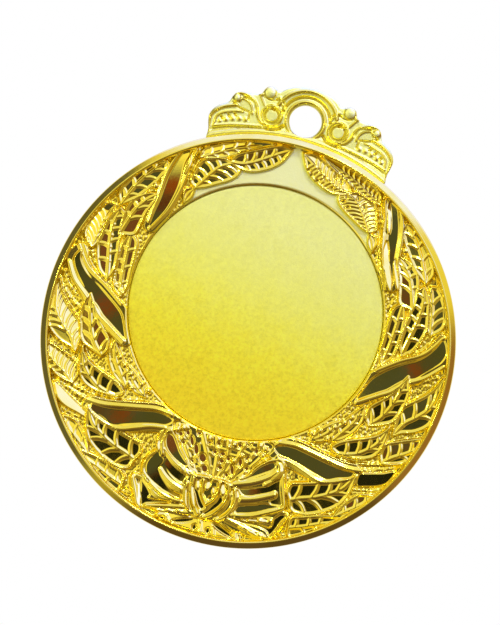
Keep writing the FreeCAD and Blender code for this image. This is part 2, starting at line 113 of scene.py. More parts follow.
class Relief:
    """A field of heights over scattered points, built up from leaves, flats, raised lines and domes."""

    def __init__(self, xy, base):
        self.p = np.array(xy, float)
        self.h = np.full(len(self.p), float(base))
        self.gain = np.zeros(len(self.p))
        self.frost = np.zeros(len(self.p))
        self.mirror = np.zeros(len(self.p))

    def near(self, line, pad):
        lo, hi = line.min(0) - pad, line.max(0) + pad
        p = self.p
        return np.nonzero((p[:, 0] > lo[0]) & (p[:, 0] < hi[0]) & (p[:, 1] > lo[1]) & (p[:, 1] < hi[1]))[0]

    def dist(self, idx, line):
        """Distance to an open run of points, and how far along it (0..1) the nearest place is."""
        seg = line[1:] - line[:-1]
        ln = np.maximum((seg ** 2).sum(1), 1e-12)
        length = np.sqrt(ln)
        cum = np.concatenate([[0], np.cumsum(length)])
        d_out, s_out = np.empty(len(idx)), np.empty(len(idx))
        for c in range(0, len(idx), 6000):
            pp = self.p[idx[c:c + 6000]]
            rel = pp[:, None, :] - line[None, :-1, :]
            t = np.clip((rel * seg[None]).sum(2) / ln, 0, 1)
            q = rel - seg[None] * t[..., None]
            d2 = (q ** 2).sum(2)
            k = d2.argmin(1)
            r = np.arange(len(k))
            d_out[c:c + 6000] = np.sqrt(d2[r, k])
            s_out[c:c + 6000] = (cum[k] + t[r, k] * length[k]) / cum[-1]
        return d_out, s_out

    def inside(self, idx, poly):
        x, z = self.p[idx, 0][:, None], self.p[idx, 1][:, None]
        a, b = poly, np.roll(poly, -1, 0)
        out = np.zeros(len(idx), bool)
        for c in range(0, len(idx), 6000):
            xx, zz = x[c:c + 6000], z[c:c + 6000]
            cross = (a[None, :, 1] > zz) != (b[None, :, 1] > zz)
            dz = np.where(np.abs(b[:, 1] - a[:, 1]) < 1e-12, 1e-12, b[:, 1] - a[:, 1])
            xi = a[None, :, 0] + (zz - a[None, :, 1]) * ((b[:, 0] - a[:, 0]) / dz)[None]
            out[c:c + 6000] = (cross & (xx < xi)).sum(1) % 2 == 1
        return out

    def signed(self, poly, pad):
        idx = self.near(poly, pad)
        d, s = self.dist(idx, np.vstack([poly, poly[:1]]))
        return idx, np.where(self.inside(idx, poly), d, -d), s

    def line(self, points, rise, half, taper=(1.0, 1.0), closed=False, raw=False, soft=0.25):
        """A raised line, kept apart until flush() so that crossings don't pile up."""
        c = np.array(points, float) if raw else catmull(points, closed)
        if closed:
            c = np.vstack([c, c[:1]])
        idx = self.near(c, half)
        if not len(idx):
            return
        d, s = self.dist(idx, c)
        w = half * (taper[0] + (taper[1] - taper[0]) * s)
        k = taper[0] + (taper[1] - taper[0]) * s
        self.gain[idx] = np.maximum(self.gain[idx], rise * (0.4 + 0.6 * k) * tent(d / w, soft))

    def groove(self, points, depth, half, taper=(1.0, 1.0), closed=False):
        c = catmull(points, closed)
        if closed:
            c = np.vstack([c, c[:1]])
        idx = self.near(c, half)
        if not len(idx):
            return
        d, s = self.dist(idx, c)
        k = taper[0] + (taper[1] - taper[0]) * s
        self.h[idx] -= depth * k * bell(d / (half * np.maximum(k, 0.2)))

    def flush(self):
        self.h += self.gain
        self.gain[:] = 0.0

    def flat(self, points, level, wall=0.22, tilt=(0.0, 0.0), crown=0.0, crown_dir=None, mirror=1.0, keep_above=False, sharp=False):
        """A flat facet with a smooth wall round it; it may lean a little and be crowned along one direction."""
        poly = np.array(points, float) if sharp else catmull(points, True)
        idx, sd, _ = self.signed(poly, wall + 0.1)
        c = poly.mean(0)
        rel = self.p[idx] - c
        z = level + rel[:, 0] * tilt[0] + rel[:, 1] * tilt[1]
        if crown:
            u = np.array(crown_dir, float)
            u /= np.linalg.norm(u)
            z = z - crown * (rel @ u) ** 2
        m = smooth(-wall, wall * 0.35, sd)
        new = self.h[idx] * (1 - m) + z * m
        if keep_above:
            new = np.maximum(new, self.h[idx])
        self.h[idx] = new
        mm = smooth(-0.05, 0.08, sd)
        self.mirror[idx] = self.mirror[idx] * (1 - mm) + mirror * mm
        self.frost[idx] *= 1 - mm

    def dome(self, x, z, radius, rise, power=0.5, base=None):
        idx = np.nonzero((np.abs(self.p[:, 0] - x) < radius) & (np.abs(self.p[:, 1] - z) < radius))[0]
        if not len(idx):
            return
        d = np.hypot(self.p[idx, 0] - x, self.p[idx, 1] - z) / radius
        k = np.clip(1 - d * d, 0, 1) ** power
        b = self.h[idx] if base is None else base
        self.h[idx] = np.maximum(self.h[idx], b + rise * k - (0 if base is None else 0))
        self.mirror[idx] *= np.where(d < 1, 0.3, 1.0)
        self.frost[idx] *= np.where(d < 1, 0.0, 1.0)

    def leaf(self, spec, side, cell, crest, edge_w=0.42, vein_w=0.32, roof=0.04, lean=(0.0, 0.0), vein_rise=None, foot=0.38, slant=0.0):
        rib, left, right, lv, rv = [flip(v, side) if k < 3 else v for k, v in enumerate(spec)]
        veins = [(flip([a, b], side)) for a, b in list(lv) + list(rv)]
        ra = catmull([rib[0]] + list(right) + [rib[-1]])
        la = catmull([rib[0]] + list(left) + [rib[-1]])
        poly = np.vstack([ra, la[::-1][1:-1]])
        idx, sd, _ = self.signed(poly, foot + 0.05)
        ribc = catmull(rib)
        dr, sr = self.dist(idx, ribc)
        c = poly.mean(0)
        rel = self.p[idx] - c
        z = cell - roof * np.minimum(dr, 2.0) + rel[:, 0] * lean[0] + rel[:, 1] * lean[1]
        rise = crest - cell
        vr = rise * 0.9 if vein_rise is None else vein_rise
        g = rise * tent(sd / edge_w)
        g = np.maximum(g, rise * 1.12 * (0.75 + 0.25 * (1 - sr)) * tent(dr / (edge_w * (1.05 - 0.35 * sr))))
        for a, b in veins:
            a, b = np.array(a), np.array(b)
            # a vein bows a little towards the tip and stops at the edge
            t = ribc[-1] - ribc[0]
            t = t / np.linalg.norm(t)
            if slant:
                b = b + t * slant * np.linalg.norm(b - a)
            mid = (a + b) / 2 + t * 0.10 * np.linalg.norm(b - a)
            line = catmull([a, mid, b], step=0.16)
            dv, sv = self.dist(idx, line)
            g = np.maximum(g, vr * (1.0 - 0.2 * sv) * tent(dv / (vein_w * (1.1 - 0.2 * sv))))
        inside = z + g
        out = FLOOR - 0.05 + (crest - FLOOR + 0.05) * bell(np.minimum(sd, 0) / foot)
        self.h[idx] = np.where(sd >= 0, inside, np.maximum(self.h[idx], out))
        mm = smooth(0.0, 0.1, sd)
        self.mirror[idx] = self.mirror[idx] * (1 - mm) + mm * (1.0 - np.clip(g / max(rise, 1e-6), 0, 1))
        edge = sd > -0.2
        self.frost[idx[edge]] = 0.0


# leaves of the right half, medal coordinates (disc centre origin, x right, z towards the hanger), mm
# name: (rib base->tip, left edge points, right edge points, left veins, right veins)
LEAVES = {
 "a0": ([(14.0,16.9),(13.8,18.2),(13.0,19.4)], [(13.2,18.1)], [(14.35,18.8)], [], []),
 "a1": ([(12.9,19.5),(12.0,20.9),(11.2,22.1),(10.2,23.3),(8.6,24.2)],
        [(11.6,20.0),(10.2,20.8),(8.8,21.6),(7.6,22.7),(7.4,23.7)],
        [(13.8,20.2),(13.5,21.8),(12.9,23.3),(11.2,24.1),(9.8,24.5)],
        [((12.2,20.6),(11.0,20.3)),((11.5,21.6),(9.6,21.1)),((10.7,22.7),(8.6,21.8)),((9.7,23.6),(7.8,22.6)),((9.0,24.0),(7.5,23.3))],
        [((12.3,20.5),(13.8,20.9)),((11.7,21.4),(13.5,22.0)),((11.0,22.4),(12.9,23.2)),((10.2,23.3),(11.5,24.0))]),
 "a2": ([(9.0,24.3),(7.2,24.5),(5.6,25.2),(4.0,26.1),(2.4,27.0),(0.9,27.8)],
        [(7.4,23.8),(5.8,23.8),(4.2,24.4),(2.9,25.2),(1.8,26.2)],
        [(8.4,25.3),(7.0,26.1),(5.4,26.8),(3.6,27.6),(2.2,28.0)],
        [((6.9,24.6),(6.2,23.7)),((5.7,25.1),(5.0,24.0)),((4.7,25.7),(4.0,24.5)),((3.7,26.3),(3.1,25.1)),((2.7,26.8),(2.2,25.8))],
        [((7.0,24.6),(7.4,25.9)),((5.9,25.1),(6.1,26.5)),((4.6,25.8),(4.8,27.0)),((3.3,26.5),(3.4,27.6))]),
 "a3": ([(13.3,23.6),(11.6,24.6),(9.8,25.6),(7.8,26.5),(5.6,27.3),(3.6,28.1)],
        [(11.6,24.0),(9.8,24.7),(8.2,25.6),(6.4,26.4),(4.8,27.2)],
        [(13.0,24.9),(11.2,26.0),(9.2,27.0),(7.0,27.8),(5.0,28.3)],
        [((11.8,24.5),(10.9,24.2)),((10.4,25.3),(9.5,24.8)),((8.9,26.0),(8.1,25.5)),((7.3,26.7),(6.6,26.2))],
        [((12.0,24.4),(12.3,25.4)),((10.6,25.2),(10.8,26.2)),((9.0,25.9),(9.0,27.1)),((7.3,26.7),(7.2,27.7))]),
 "b1": ([(21.9,3.5),(22.4,6.2),(22.9,8.8),(23.1,11.4),(22.5,13.9)],
        [(21.3,5.2),(21.4,7.6),(21.6,9.4),(21.3,11.2),(21.5,12.9)],
        [(23.3,4.5),(24.1,6.2),(24.5,8.0),(24.2,10.0),(23.6,12.2)],
        [((22.4,7.3),(21.3,7.4)),((22.7,9.0),(21.5,9.2)),((22.9,10.7),(21.4,10.7)),((22.9,12.4),(21.4,12.4))],
        [((22.3,6.1),(24.0,5.7)),((22.7,8.1),(24.5,7.9)),((22.9,9.8),(24.2,9.8)),((23.0,11.4),(23.8,11.5))]),
 "b2": ([(19.5,1.5),(19.9,4.2),(20.1,6.6),(20.2,8.8),(20.3,10.9)],
        [(18.95,3.2),(18.95,5.6),(18.95,8.0),(19.2,10.0)],
        [(20.7,2.8),(21.1,4.8),(21.2,7.0),(21.0,9.2)],
        [((19.8,3.4),(18.9,3.6)),((20.0,5.6),(18.9,5.9)),((20.1,8.1),(19.0,8.4))],
        [((19.7,3.1),(20.8,2.9)),((20.0,4.9),(21.1,4.8)),((20.1,6.5),(21.2,6.4)),((20.2,8.5),(21.1,8.4))]),
 "b3": ([(21.9,10.3),(21.2,12.5),(20.4,14.5),(19.3,16.0),(18.0,17.2)],
        [(19.8,10.8),(19.3,12.4),(18.9,14.2),(18.2,15.9)],
        [(21.9,12.9),(21.4,15.0),(20.2,16.4),(19.0,17.1)],
        [((21.1,12.7),(19.4,13.1)),((20.5,14.3),(18.9,14.8)),((19.7,15.5),(18.4,16.0))],
        [((20.9,13.2),(21.9,13.4)),((20.3,14.7),(21.3,15.2)),((19.6,15.7),(20.4,16.2))]),
 "b4": ([(22.6,14.3),(21.7,16.3),(20.7,18.2),(19.4,20.0),(17.6,21.9)],
        [(20.8,15.9),(19.4,17.6),(18.3,19.2),(17.5,20.8)],
        [(23.1,15.8),(22.3,17.8),(21.2,19.6),(19.6,21.3)],
        [((21.9,15.9),(20.7,16.0)),((21.2,17.3),(19.8,17.3)),((20.3,18.8),(18.7,18.8)),((19.3,20.1),(17.8,20.3))],
        [((22.1,15.6),(23.0,16.5)),((21.2,17.4),(22.1,18.3)),((20.1,19.1),(21.0,19.9)),((19.0,20.5),(19.6,21.3))]),
 "b5": ([(25.2,7.3),(24.8,9.4),(24.3,11.5),(23.4,14.0)],
        [(24.6,8.2),(24.2,10.0),(23.6,12.0)],
        [(26.4,8.8),(26.3,10.6),(25.4,12.6),(24.2,14.0)],
        [((24.7,9.7),(24.2,10.2)),((24.2,11.6),(23.6,12.2))],
        [((25.0,8.3),(26.1,9.6)),((24.7,9.9),(25.9,11.2)),((24.2,11.6),(25.1,12.8))]),
 "b6": ([(27.1,8.6),(26.6,11.0),(25.4,13.8),(23.8,16.4)],
        [(26.4,10.2),(25.5,12.6),(24.2,15.0)],
        [(27.3,10.4),(26.2,13.2),(24.9,15.4)],
        [((26.7,10.6),(26.2,11.2)),((25.6,13.4),(25.0,13.6))],
        [((26.8,10.2),(27.2,11.0)),((26.0,12.5),(26.5,13.0)),((24.9,14.7),(25.4,15.2))]),
 "c1": ([(23.7,-7.9),(24.8,-5.9),(26.2,-4.5),(27.5,-2.7),(28.1,-0.4),(28.3,1.9)],
        [(23.6,-5.6),(24.0,-3.7),(25.3,-2.5),(26.6,-1.2),(27.5,0.2)],
        [(24.6,-7.3),(26.4,-6.5),(28.0,-5.0),(28.5,-2.6),(28.6,-0.2)],
        [((24.7,-6.2),(24.1,-4.9)),((25.9,-4.7),(25.4,-2.9)),((27.2,-3.1),(27.0,-1.3)),((27.9,-1.2),(27.7,0.2))],
        [((26.4,-4.3),(28.1,-4.7)),((27.6,-2.6),(28.5,-2.7))]),
 "c2": ([(23.0,-12.2),(24.3,-11.0),(26.0,-9.8),(27.4,-8.6),(28.2,-7.0)],
        [(22.6,-10.9),(22.9,-9.6),(24.7,-8.6),(26.5,-7.7)],
        [(24.6,-11.8),(26.2,-10.9),(27.4,-9.8)],
        [((23.7,-11.5),(23.2,-9.6)),((25.0,-10.5),(24.6,-8.7)),((26.4,-9.4),(26.0,-8.0))],
        [((25.2,-10.3),(26.1,-10.9)),((26.8,-9.1),(27.5,-9.6))]),
 "c3": ([(19.9,-7.4),(21.3,-5.9),(22.4,-3.8),(23.1,-1.4),(23.7,0.9)],
        [(19.3,-6.4),(19.5,-4.8),(20.8,-3.4),(22.1,-2.0),(23.0,-0.3)],
        [(21.6,-6.8),(23.2,-5.9),(24.0,-3.8),(24.4,-1.6)],
        [((20.3,-7.0),(19.4,-5.2)),((21.5,-5.7),(20.8,-3.8)),((22.4,-3.8),(21.7,-2.5)),((23.0,-1.6),(22.7,-0.8))],
        [((21.5,-5.5),(23.1,-5.0)),((22.5,-3.5),(24.0,-3.1)),((23.1,-1.5),(24.3,-1.4))]),
 "c4": ([(16.6,-12.5),(17.8,-12.3),(19.3,-11.8),(20.7,-10.8),(22.0,-9.3),(22.9,-6.7)],
        [(15.6,-11.8),(16.4,-10.9),(18.0,-10.1),(19.6,-9.5),(21.4,-8.6),(22.4,-7.6)],
        [(20.4,-12.2),(21.9,-11.3),(22.7,-9.3)],
        [((17.7,-12.4),(17.2,-10.6)),((19.3,-11.8),(18.9,-9.9)),((20.7,-10.8),(20.4,-9.3)),((21.9,-9.4),(21.5,-8.7))],
        [((20.6,-10.9),(22.0,-10.7)),((21.7,-9.7),(22.6,-9.5))]),
 "c5": ([(15.4,-10.9),(16.6,-9.2),(17.8,-7.4),(18.6,-4.9)],
        [(15.2,-9.6),(16.4,-7.9),(17.6,-6.2)],
        [(16.8,-10.2),(18.2,-8.6),(18.9,-6.8)],
        [((16.3,-9.6),(15.6,-8.9)),((17.3,-8.1),(16.7,-7.4)),((18.0,-6.8),(17.6,-6.1))],
        [((16.5,-9.4),(17.5,-9.4)),((17.6,-7.8),(18.6,-7.9)),((18.2,-6.4),(18.9,-6.4))]),
 "c6": ([(12.4,-11.6),(13.8,-10.6),(14.9,-9.4),(15.7,-7.9)],
        [(12.9,-10.4),(14.3,-8.9)],
        [(14.0,-11.2),(15.3,-9.9)],
        [((13.5,-10.8),(13.0,-10.2)),((14.6,-9.7),(14.1,-9.1))],
        [((13.7,-10.7),(14.3,-10.9)),((14.7,-9.6),(15.4,-9.8))]),
 "d1": ([(11.6,-20.7),(13.0,-20.1),(15.0,-19.4),(16.9,-18.4),(18.6,-17.1),(20.0,-14.8)],
        [(11.0,-19.6),(11.2,-18.4),(12.6,-17.9),(15.0,-17.2),(17.6,-16.4),(19.0,-15.7)],
        [(12.2,-22.0),(14.0,-22.1),(16.3,-21.1),(18.4,-19.5),(19.6,-17.4)],
        [((12.3,-20.3),(12.2,-18.1)),((14.5,-19.6),(14.7,-17.5)),((16.6,-18.6),(16.5,-17.0)),((17.9,-17.6),(17.9,-16.4))],
        [((12.4,-20.4),(13.7,-22.0)),((14.0,-19.8),(15.9,-21.2)),((15.9,-19.0),(17.9,-19.4)),((17.4,-18.1),(19.1,-18.0))]),
 "d2": ([(12.3,-24.4),(14.2,-23.7),(16.2,-22.8),(18.2,-22.0),(20.0,-20.9)],
        [(12.4,-23.2),(14.2,-22.4),(16.4,-21.6),(18.4,-21.1)],
        [(12.6,-25.4),(14.6,-24.7),(16.8,-23.6),(18.8,-22.3)],
        [((13.2,-24.0),(13.0,-23.0)),((14.9,-23.4),(14.6,-22.3)),((16.4,-22.7),(16.2,-21.7))],
        [((14.0,-23.8),(14.5,-24.7)),((15.6,-23.1),(16.2,-23.9)),((17.0,-22.5),(17.8,-23.0))]),
 "d3": ([(18.0,-21.3),(19.8,-19.9),(21.4,-18.6),(22.9,-16.9)],
        [(18.6,-20.0),(19.6,-18.6),(21.0,-17.3)],
        [(20.2,-20.3),(21.7,-18.9),(23.0,-17.4)],
        [((19.4,-20.2),(19.0,-19.3)),((20.7,-19.2),(20.4,-18.0)),((22.0,-18.0),(21.8,-17.2))],
        [((19.7,-20.0),(20.8,-20.1)),((21.2,-18.8),(22.3,-18.8))]),
}
# mirror-bright ribbon bands, right half: outline of the flat
BANDS = {
 "upper": [(14.8,24.5),(15.3,22.5),(15.3,20.5),(15.4,19.0),(15.8,17.0),(16.3,15.3),(17.1,13.7),(17.9,12.4),
           (17.95,13.2),(17.7,14.8),(17.4,16.5),(17.3,18.2),(17.1,20.2),(16.6,22.3),(15.9,24.0)],
 "middle": [(17.3,-4.2),(17.9,-2.5),(18.7,-0.8),(19.8,0.4),(21.2,1.5),(22.8,2.5),(24.3,3.3),(25.5,4.4),(26.4,5.7),(27.2,7.2),
            (28.1,5.6),(27.8,4.2),(26.9,3.1),(25.8,2.0),(24.6,0.8),(23.5,0.4),(22.3,-0.6),(21.2,-1.7),(20.0,-2.5),(18.5,-3.5)],
 "lower": [(7.6,-13.9),(8.8,-13.3),(10.2,-13.2),(12.0,-13.5),(14.0,-13.9),(16.0,-14.3),(18.0,-14.55),(20.0,-14.4),(21.8,-13.9),(23.6,-13.4),(25.3,-12.7),
           (25.1,-13.9),(24.4,-15.0),(23.3,-15.7),(21.6,-16.2),(20.3,-16.5),(20.0,-15.4),(19.0,-15.2),(17.5,-15.9),(16.0,-16.5),(14.6,-16.2),(13.2,-15.8),(11.8,-15.4),(10.0,-15.0),(8.4,-14.7)],
}



# ---------------------------------------------------------------- casting: scattered points of the wreath ring
NU, NV = 1600, 126
ang = np.linspace(0, 2 * math.pi, NU, endpoint=False)
inner = np.stack([R_REC * np.cos(ang), RZ + R_REC * np.sin(ang)], 1)
outer = np.stack([R_RIM * np.cos(ang), R_RIM * np.sin(ang)], 1)
v = np.linspace(0, 1, NV)[:, None, None]
grid = (inner[None] * (1 - v) + outer[None] * v).reshape(-1, 2)
W = Relief(grid, FLOOR)
rad = np.hypot(grid[:, 0], grid[:, 1])
rec = np.hypot(grid[:, 0], grid[:, 1] - RZ)

# stippled ground: small pebbles, fewer under the bow, none on the plain field at the top
rng = np.random.default_rng(7)
ground = np.zeros(len(grid))
for layer, (pitch, size, rise) in enumerate([(0.82, 0.48, 0.115), (0.6, 0.33, 0.07)]):
    n = int(60 / pitch)
    gx, gz = np.meshgrid(np.arange(n), np.arange(n))
    px = (-30 + gx * pitch + (gz % 2) * pitch / 2 + rng.normal(0, 0.13, gx.shape)).ravel()
    pz = (-30 + gz * pitch * 0.9 + rng.normal(0, 0.13, gx.shape)).ravel()
    size_j = size * rng.uniform(0.75, 1.2, len(px))
    keep = (np.hypot(px, pz) < 29.2) & (np.hypot(px, pz - RZ) > 18.2)
    cell = {}
    ci = np.floor((grid + 31) / 1.0).astype(int)
    key = ci[:, 0] * 100 + ci[:, 1]
    order = np.argsort(key, kind="stable")
    ks = key[order]
    for x, z, s in zip(px[keep], pz[keep], size_j[keep]):
        found = []
        for ix in (int(math.floor(x - s + 31)), int(math.floor(x + s + 31))):
            for iz in (int(math.floor(z - s + 31)), int(math.floor(z + s + 31))):
                kk = ix * 100 + iz
                if kk not in found:
                    found.append(kk)
        for kk in found:
            a, b = np.searchsorted(ks, [kk, kk + 1])
            idx = order[a:b]
            d = np.hypot(grid[idx, 0] - x, grid[idx, 1] - z) / s
            ground[idx] = np.maximum(ground[idx], rise * bell(d))

SPANDREL = [(0, 28.9), (0.6, 28.4), (0.9, 27.4), (1.4, 26.9), (2.1, 26.1), (2.8, 25.5), (3.8, 25.0), (4.7, 24.5), (6.3, 24.2), (7.2, 24.0), (7.6, 23.3),
            (8.3, 22.7), (9.2, 22.2), (10.4, 21.5), (11.7, 20.9), (12.8, 19.9), (13.8, 18.0), (14.0, 15.0), (8, 18), (0, 20)]
sp = SPANDREL + [(-x, z) for x, z in SPANDREL[-2:0:-1]]
poly = np.array(sp, float)
idx = W.near(poly, 0.5)
d, _ = W.dist(idx, np.vstack([poly, poly[:1]]))
sd = np.where(W.inside(idx, poly), d, -d)
W.frost[idx] = smooth(-0.15, 0.1, sd)
amount = np.ones(len(grid))
amount[idx] *= 1 - smooth(-0.4, 0.0, sd)
amount *= smooth(18.65, 18.95, rec) * (1 - smooth(28.2, 28.7, rad))
low = 1 - smooth(0.7, 1.1, np.hypot(grid[:, 0] / 13.0, (grid[:, 1] + 27.2) / 2.6))
amount *= 1 - 0.7 * low
W.h += ground * amount - 0.16 * low * (grid[:, 1] + 27.2)
# plain lip round the recess
W.h += 0.10 * (1 - smooth(18.7, 18.95, rec)) * (1 - W.frost)
W.frost *= smooth(18.52, 18.84, rec)
LIP = 0.13 * (1 - smooth(18.5, 18.85, rec))

def spread(pts):
    """Draws a point close to the rim a little further out."""
    out = []
    for x, z in pts:
        r = math.hypot(x, z)
        k = 1 + 0.35 * float(smooth(25.5, 28.0, r)) / r
        out.append((x * k, z * k))
    return out


for key, (rib, left, right, lv, rv) in list(LEAVES.items()):
    LEAVES[key] = (spread(rib), spread(left), spread(right), [tuple(spread(q)) for q in lv], [tuple(spread(q)) for q in rv])

def finer(leaf):
    """The same leaf with a vein more between every two."""
    rib, left, right, lv, rv = leaf
    more = []
    for veins in (lv, rv):
        v = [(np.array(a, float), np.array(b, float)) for a, b in veins]
        extra = [((a[0] + b[0]) / 2, (a[1] + b[1]) / 2) for a, b in zip(v[:-1], v[1:])]
        if len(v) > 1:
            extra += [(v[0][0] * 1.5 - v[1][0] * 0.5, v[0][1] * 1.4 - v[1][1] * 0.4)]
        more.append([(tuple(a), tuple(b)) for a, b in v + extra])
    return rib, left, right, more[0], more[1]


FINE = {("a1", 1), ("a2", 1), ("a3", 1), ("b5", -1), ("b6", -1), ("c1", -1), ("c2", -1)}
LOW = ("a0", "a3", "b2", "b5", "b6", "c2", "c5", "c6", "d2", "d3")
ROOF = {}
BROWN, BLACK_R, BLACK_L, BLACK_M = (0.0555, 0.0175), (-0.031, 0.050), (-0.076, 0.050), (-0.024, 0.067)
LEAN = {("c1", -1): (-0.17, -0.17), ("c2", -1): (-0.16, -0.17), ("b5", -1): (-0.10, -0.12), ("b6", -1): (-0.12, -0.12),
        ("c5", -1): BROWN, ("c3", -1): BROWN, ("b3", -1): BROWN, ("b2", -1): BROWN, ("b1", -1): (0.02, 0.0), ("a1", -1): (-0.02, 0.03),
        ("a2", -1): (-0.04, 0.05), ("a3", -1): (-0.10, -0.10), ("a1", 1): (-0.10, -0.12), ("a2", 1): (-0.10, -0.12), ("a3", 1): (-0.12, -0.12),
        ("b1", 1): BLACK_M, ("b2", 1): BLACK_M, ("b4", 1): (-0.05, -0.05), ("b6", 1): (-0.05, -0.05), ("c1", 1): (0.02, 0.02), ("d1", -1): BLACK_L,
        ("d1", 1): BLACK_R, ("d2", -1): (-0.10, -0.08), ("d2", 1): BLACK_R, ("d3", -1): (-0.12, -0.10), ("c4", 1): BLACK_R, ("c4", -1): BLACK_L,
        ("c3", 1): BLACK_M, ("c6", 1): BLACK_R}
for name in LOW:
    for side in (1, -1):
        fine = (name, side) in FINE
        W.leaf(finer(LEAVES[name]) if fine else LEAVES[name], side, 0.93, 1.07, edge_w=0.27 if fine else 0.31, vein_w=0.22 if fine else 0.26,
               lean=LEAN.get((name, side), (0.0, 0.0)), roof=0.10 if fine else 0.03, slant=0.2)

# ---------------------------------------------------------------- ribbon bands
def band(side, flat, lines, level=1.12, width=0.75, crown=0.0, crown_dir=(1, 0), tilt=(0, 0)):
    pts = catmull(flip(flat, side), True)
    idx, sd, _ = W.signed(pts, width + 0.3)
    m = smooth(-width - 0.25, -width + 0.05, sd)
    W.h[idx] = np.maximum(W.h[idx], W.h[idx] * (1 - m) + (level + 0.10) * m)
    W.h[idx] = np.where(m > 0.5, level + 0.10, W.h[idx])
    W.mirror[idx] *= 1 - m
    W.frost[idx] *= 1 - m
    for pl, rise, half, taper in lines:
        W.line(flip(pl, side), rise * 0.70, half * 1.25, taper)
    W.flush()
    W.flat(flip(flat, side), level, wall=0.16, tilt=tilt, crown=crown, crown_dir=(side * crown_dir[0], crown_dir[1]))


BAND_LINES = {
    "upper": [([(14.0, 24.9), (14.4, 23.0), (14.6, 21.0), (14.9, 19.0), (15.4, 17.0), (16.0, 15.3), (16.9, 13.7), (17.8, 12.2)], 0.26, 0.30, (1, 1)),
              ([(13.4, 24.6), (13.7, 22.5), (14.1, 20.5), (14.3, 18.5), (14.7, 16.8)], 0.22, 0.26, (1, 0.8)),
              ([(16.3, 24.1), (17.0, 22.4), (17.5, 20.3), (17.7, 18.3), (17.8, 16.5), (18.05, 14.9), (18.2, 13.2)], 0.24, 0.28, (1, 1))],
    "middle": [([(19.5, 1.6), (22.0, 3.3), (24.5, 4.8), (26.9, 8.2)], 0.24, 0.28, (1, 1)),
               ([(19.0, 0.6), (22.0, 2.75), (25.0, 4.55), (27.3, 7.6)], 0.22, 0.24, (1, 1)),
               ([(17.4, -4.6), (20.0, -3.0), (22.0, -1.7), (23.0, -0.3)], 0.26, 0.32, (1, 1)),
               ([(24.0, 0.0), (26.0, 1.2), (28.3, 3.4)], 0.24, 0.26, (1, 1)),
               ([(24.2, -0.6), (26.2, 0.7), (27.7, 1.8)], 0.2, 0.24, (1, 1))],
    "lower": [([(10.5, -12.0), (12.5, -12.35), (14.5, -12.7), (17.0, -13.1), (19.0, -13.2), (21.0, -12.9), (23.0, -12.5), (26.0, -11.7)], 0.40, 0.30, (0.8, 1)),
              ([(8.0, -13.1), (10.5, -12.9), (13.0, -13.3), (15.5, -13.75), (18.0, -14.15), (20.0, -14.1), (22.0, -13.6), (25.0, -12.5)], 0.34, 0.36, (1, 1)),
              ([(8.5, -15.2), (10.5, -15.5), (12.5, -16.2), (14.5, -16.9), (16.2, -17.0), (18.0, -16.3), (20.0, -15.0)], 0.28, 0.34, (1, 1)),
              ([(19.8, -16.9), (22.0, -16.6), (24.0, -16.0), (25.6, -14.0)], 0.26, 0.28, (1, 1)),
              ([(20.0, -17.4), (22.5, -17.0), (24.0, -16.4)], 0.2, 0.24, (1, 1))],
}
# the right upper band keeps a broad slope beside the recess
UPPER_R = [(14.8, 24.5), (15.4, 22.5), (15.6, 20.5), (15.9, 18.6), (16.4, 16.8), (16.95, 15.2), (17.5, 13.9), (17.95, 12.8),
           (18.0, 13.6), (17.75, 15.0), (17.45, 16.6), (17.3, 18.2), (17.1, 20.2), (16.6, 22.3), (15.9, 24.0)]
RIGHT_LINES = [([(13.9, 24.9), (14.3, 23.0), (14.6, 21.0), (14.9, 19.4)], 0.26, 0.30, (1, 1)),
               ([(14.9, 19.6), (15.2, 18.0), (15.7, 16.3), (16.4, 14.5), (17.3, 12.7)], 0.46, 0.66, (0.7, 1)),
               ([(16.3, 24.1), (17.2, 22.4), (17.7, 20.3), (17.9, 18.3), (18.1, 16.5), (18.5, 14.9), (19.0, 13.2)], 0.30, 0.36, (1, 1))]
band(1, UPPER_R, RIGHT_LINES, crown=0.006, crown_dir=(-0.25, 1))
band(-1, BANDS["upper"], BAND_LINES["upper"], crown=0.0058, crown_dir=(0.25, 1), tilt=(0.0212, -0.0454))
band(1, BANDS["middle"], BAND_LINES["middle"], crown=0.005, crown_dir=(1, 0.9), tilt=(0.0317, 0.0107))
# the left middle band is narrower, with a pale striped slope under it
MIDDLE_L = [(17.3, -4.2), (17.9, -2.5), (18.7, -0.9), (19.8, 0.1), (21.2, 1.1), (22.8, 2.2), (24.3, 3.1), (25.5, 4.2), (26.3, 5.4), (26.6, 6.6),
            (27.3, 5.4), (27.0, 4.3), (26.2, 3.1), (25.2, 2.0), (24.2, 0.9), (23.3, 0.1), (22.3, -0.6), (21.2, -1.7), (20.0, -2.5), (18.5, -3.5)]
LEFT_LINES = BAND_LINES["middle"][:3] + [([(23.6, -0.3), (25.0, 0.9), (26.6, 2.3), (27.9, 4.4)], 0.36, 0.42, (1, 1)),
                                         ([(23.9, -1.0), (25.6, 0.2), (27.2, 1.6), (28.1, 3.0)], 0.36, 0.42, (1, 1)),
                                         ([(24.4, -1.6), (26.2, -0.6), (27.8, 0.9)], 0.30, 0.36, (1, 1)),
                                         ([(19.4, 2.1), (22.0, 3.95), (24.0, 5.2), (26.2, 8.4)], 0.30, 0.34, (1, 1))]
band(-1, MIDDLE_L, LEFT_LINES, crown=-0.004, crown_dir=(1, 0.9), width=0.95, tilt=(-0.0515, 0.0081))
LOWER_IN = [(7.6, -13.9), (8.8, -13.3), (10.2, -13.2), (12.0, -13.5), (14.0, -13.9), (16.0, -14.3), (18.0, -14.55), (19.6, -14.6),
            (19.3, -15.3), (17.5, -15.9), (16.0, -16.5), (14.6, -16.2), (13.2, -15.8), (11.8, -15.4), (10.0, -15.0), (8.4, -14.7)]
LOWER_OUT = [(20.4, -14.55), (21.8, -14.05), (23.6, -13.55), (25.3, -12.9), (25.1, -13.9), (24.4, -15.0), (23.3, -15.6), (21.6, -16.1), (20.5, -16.3)]
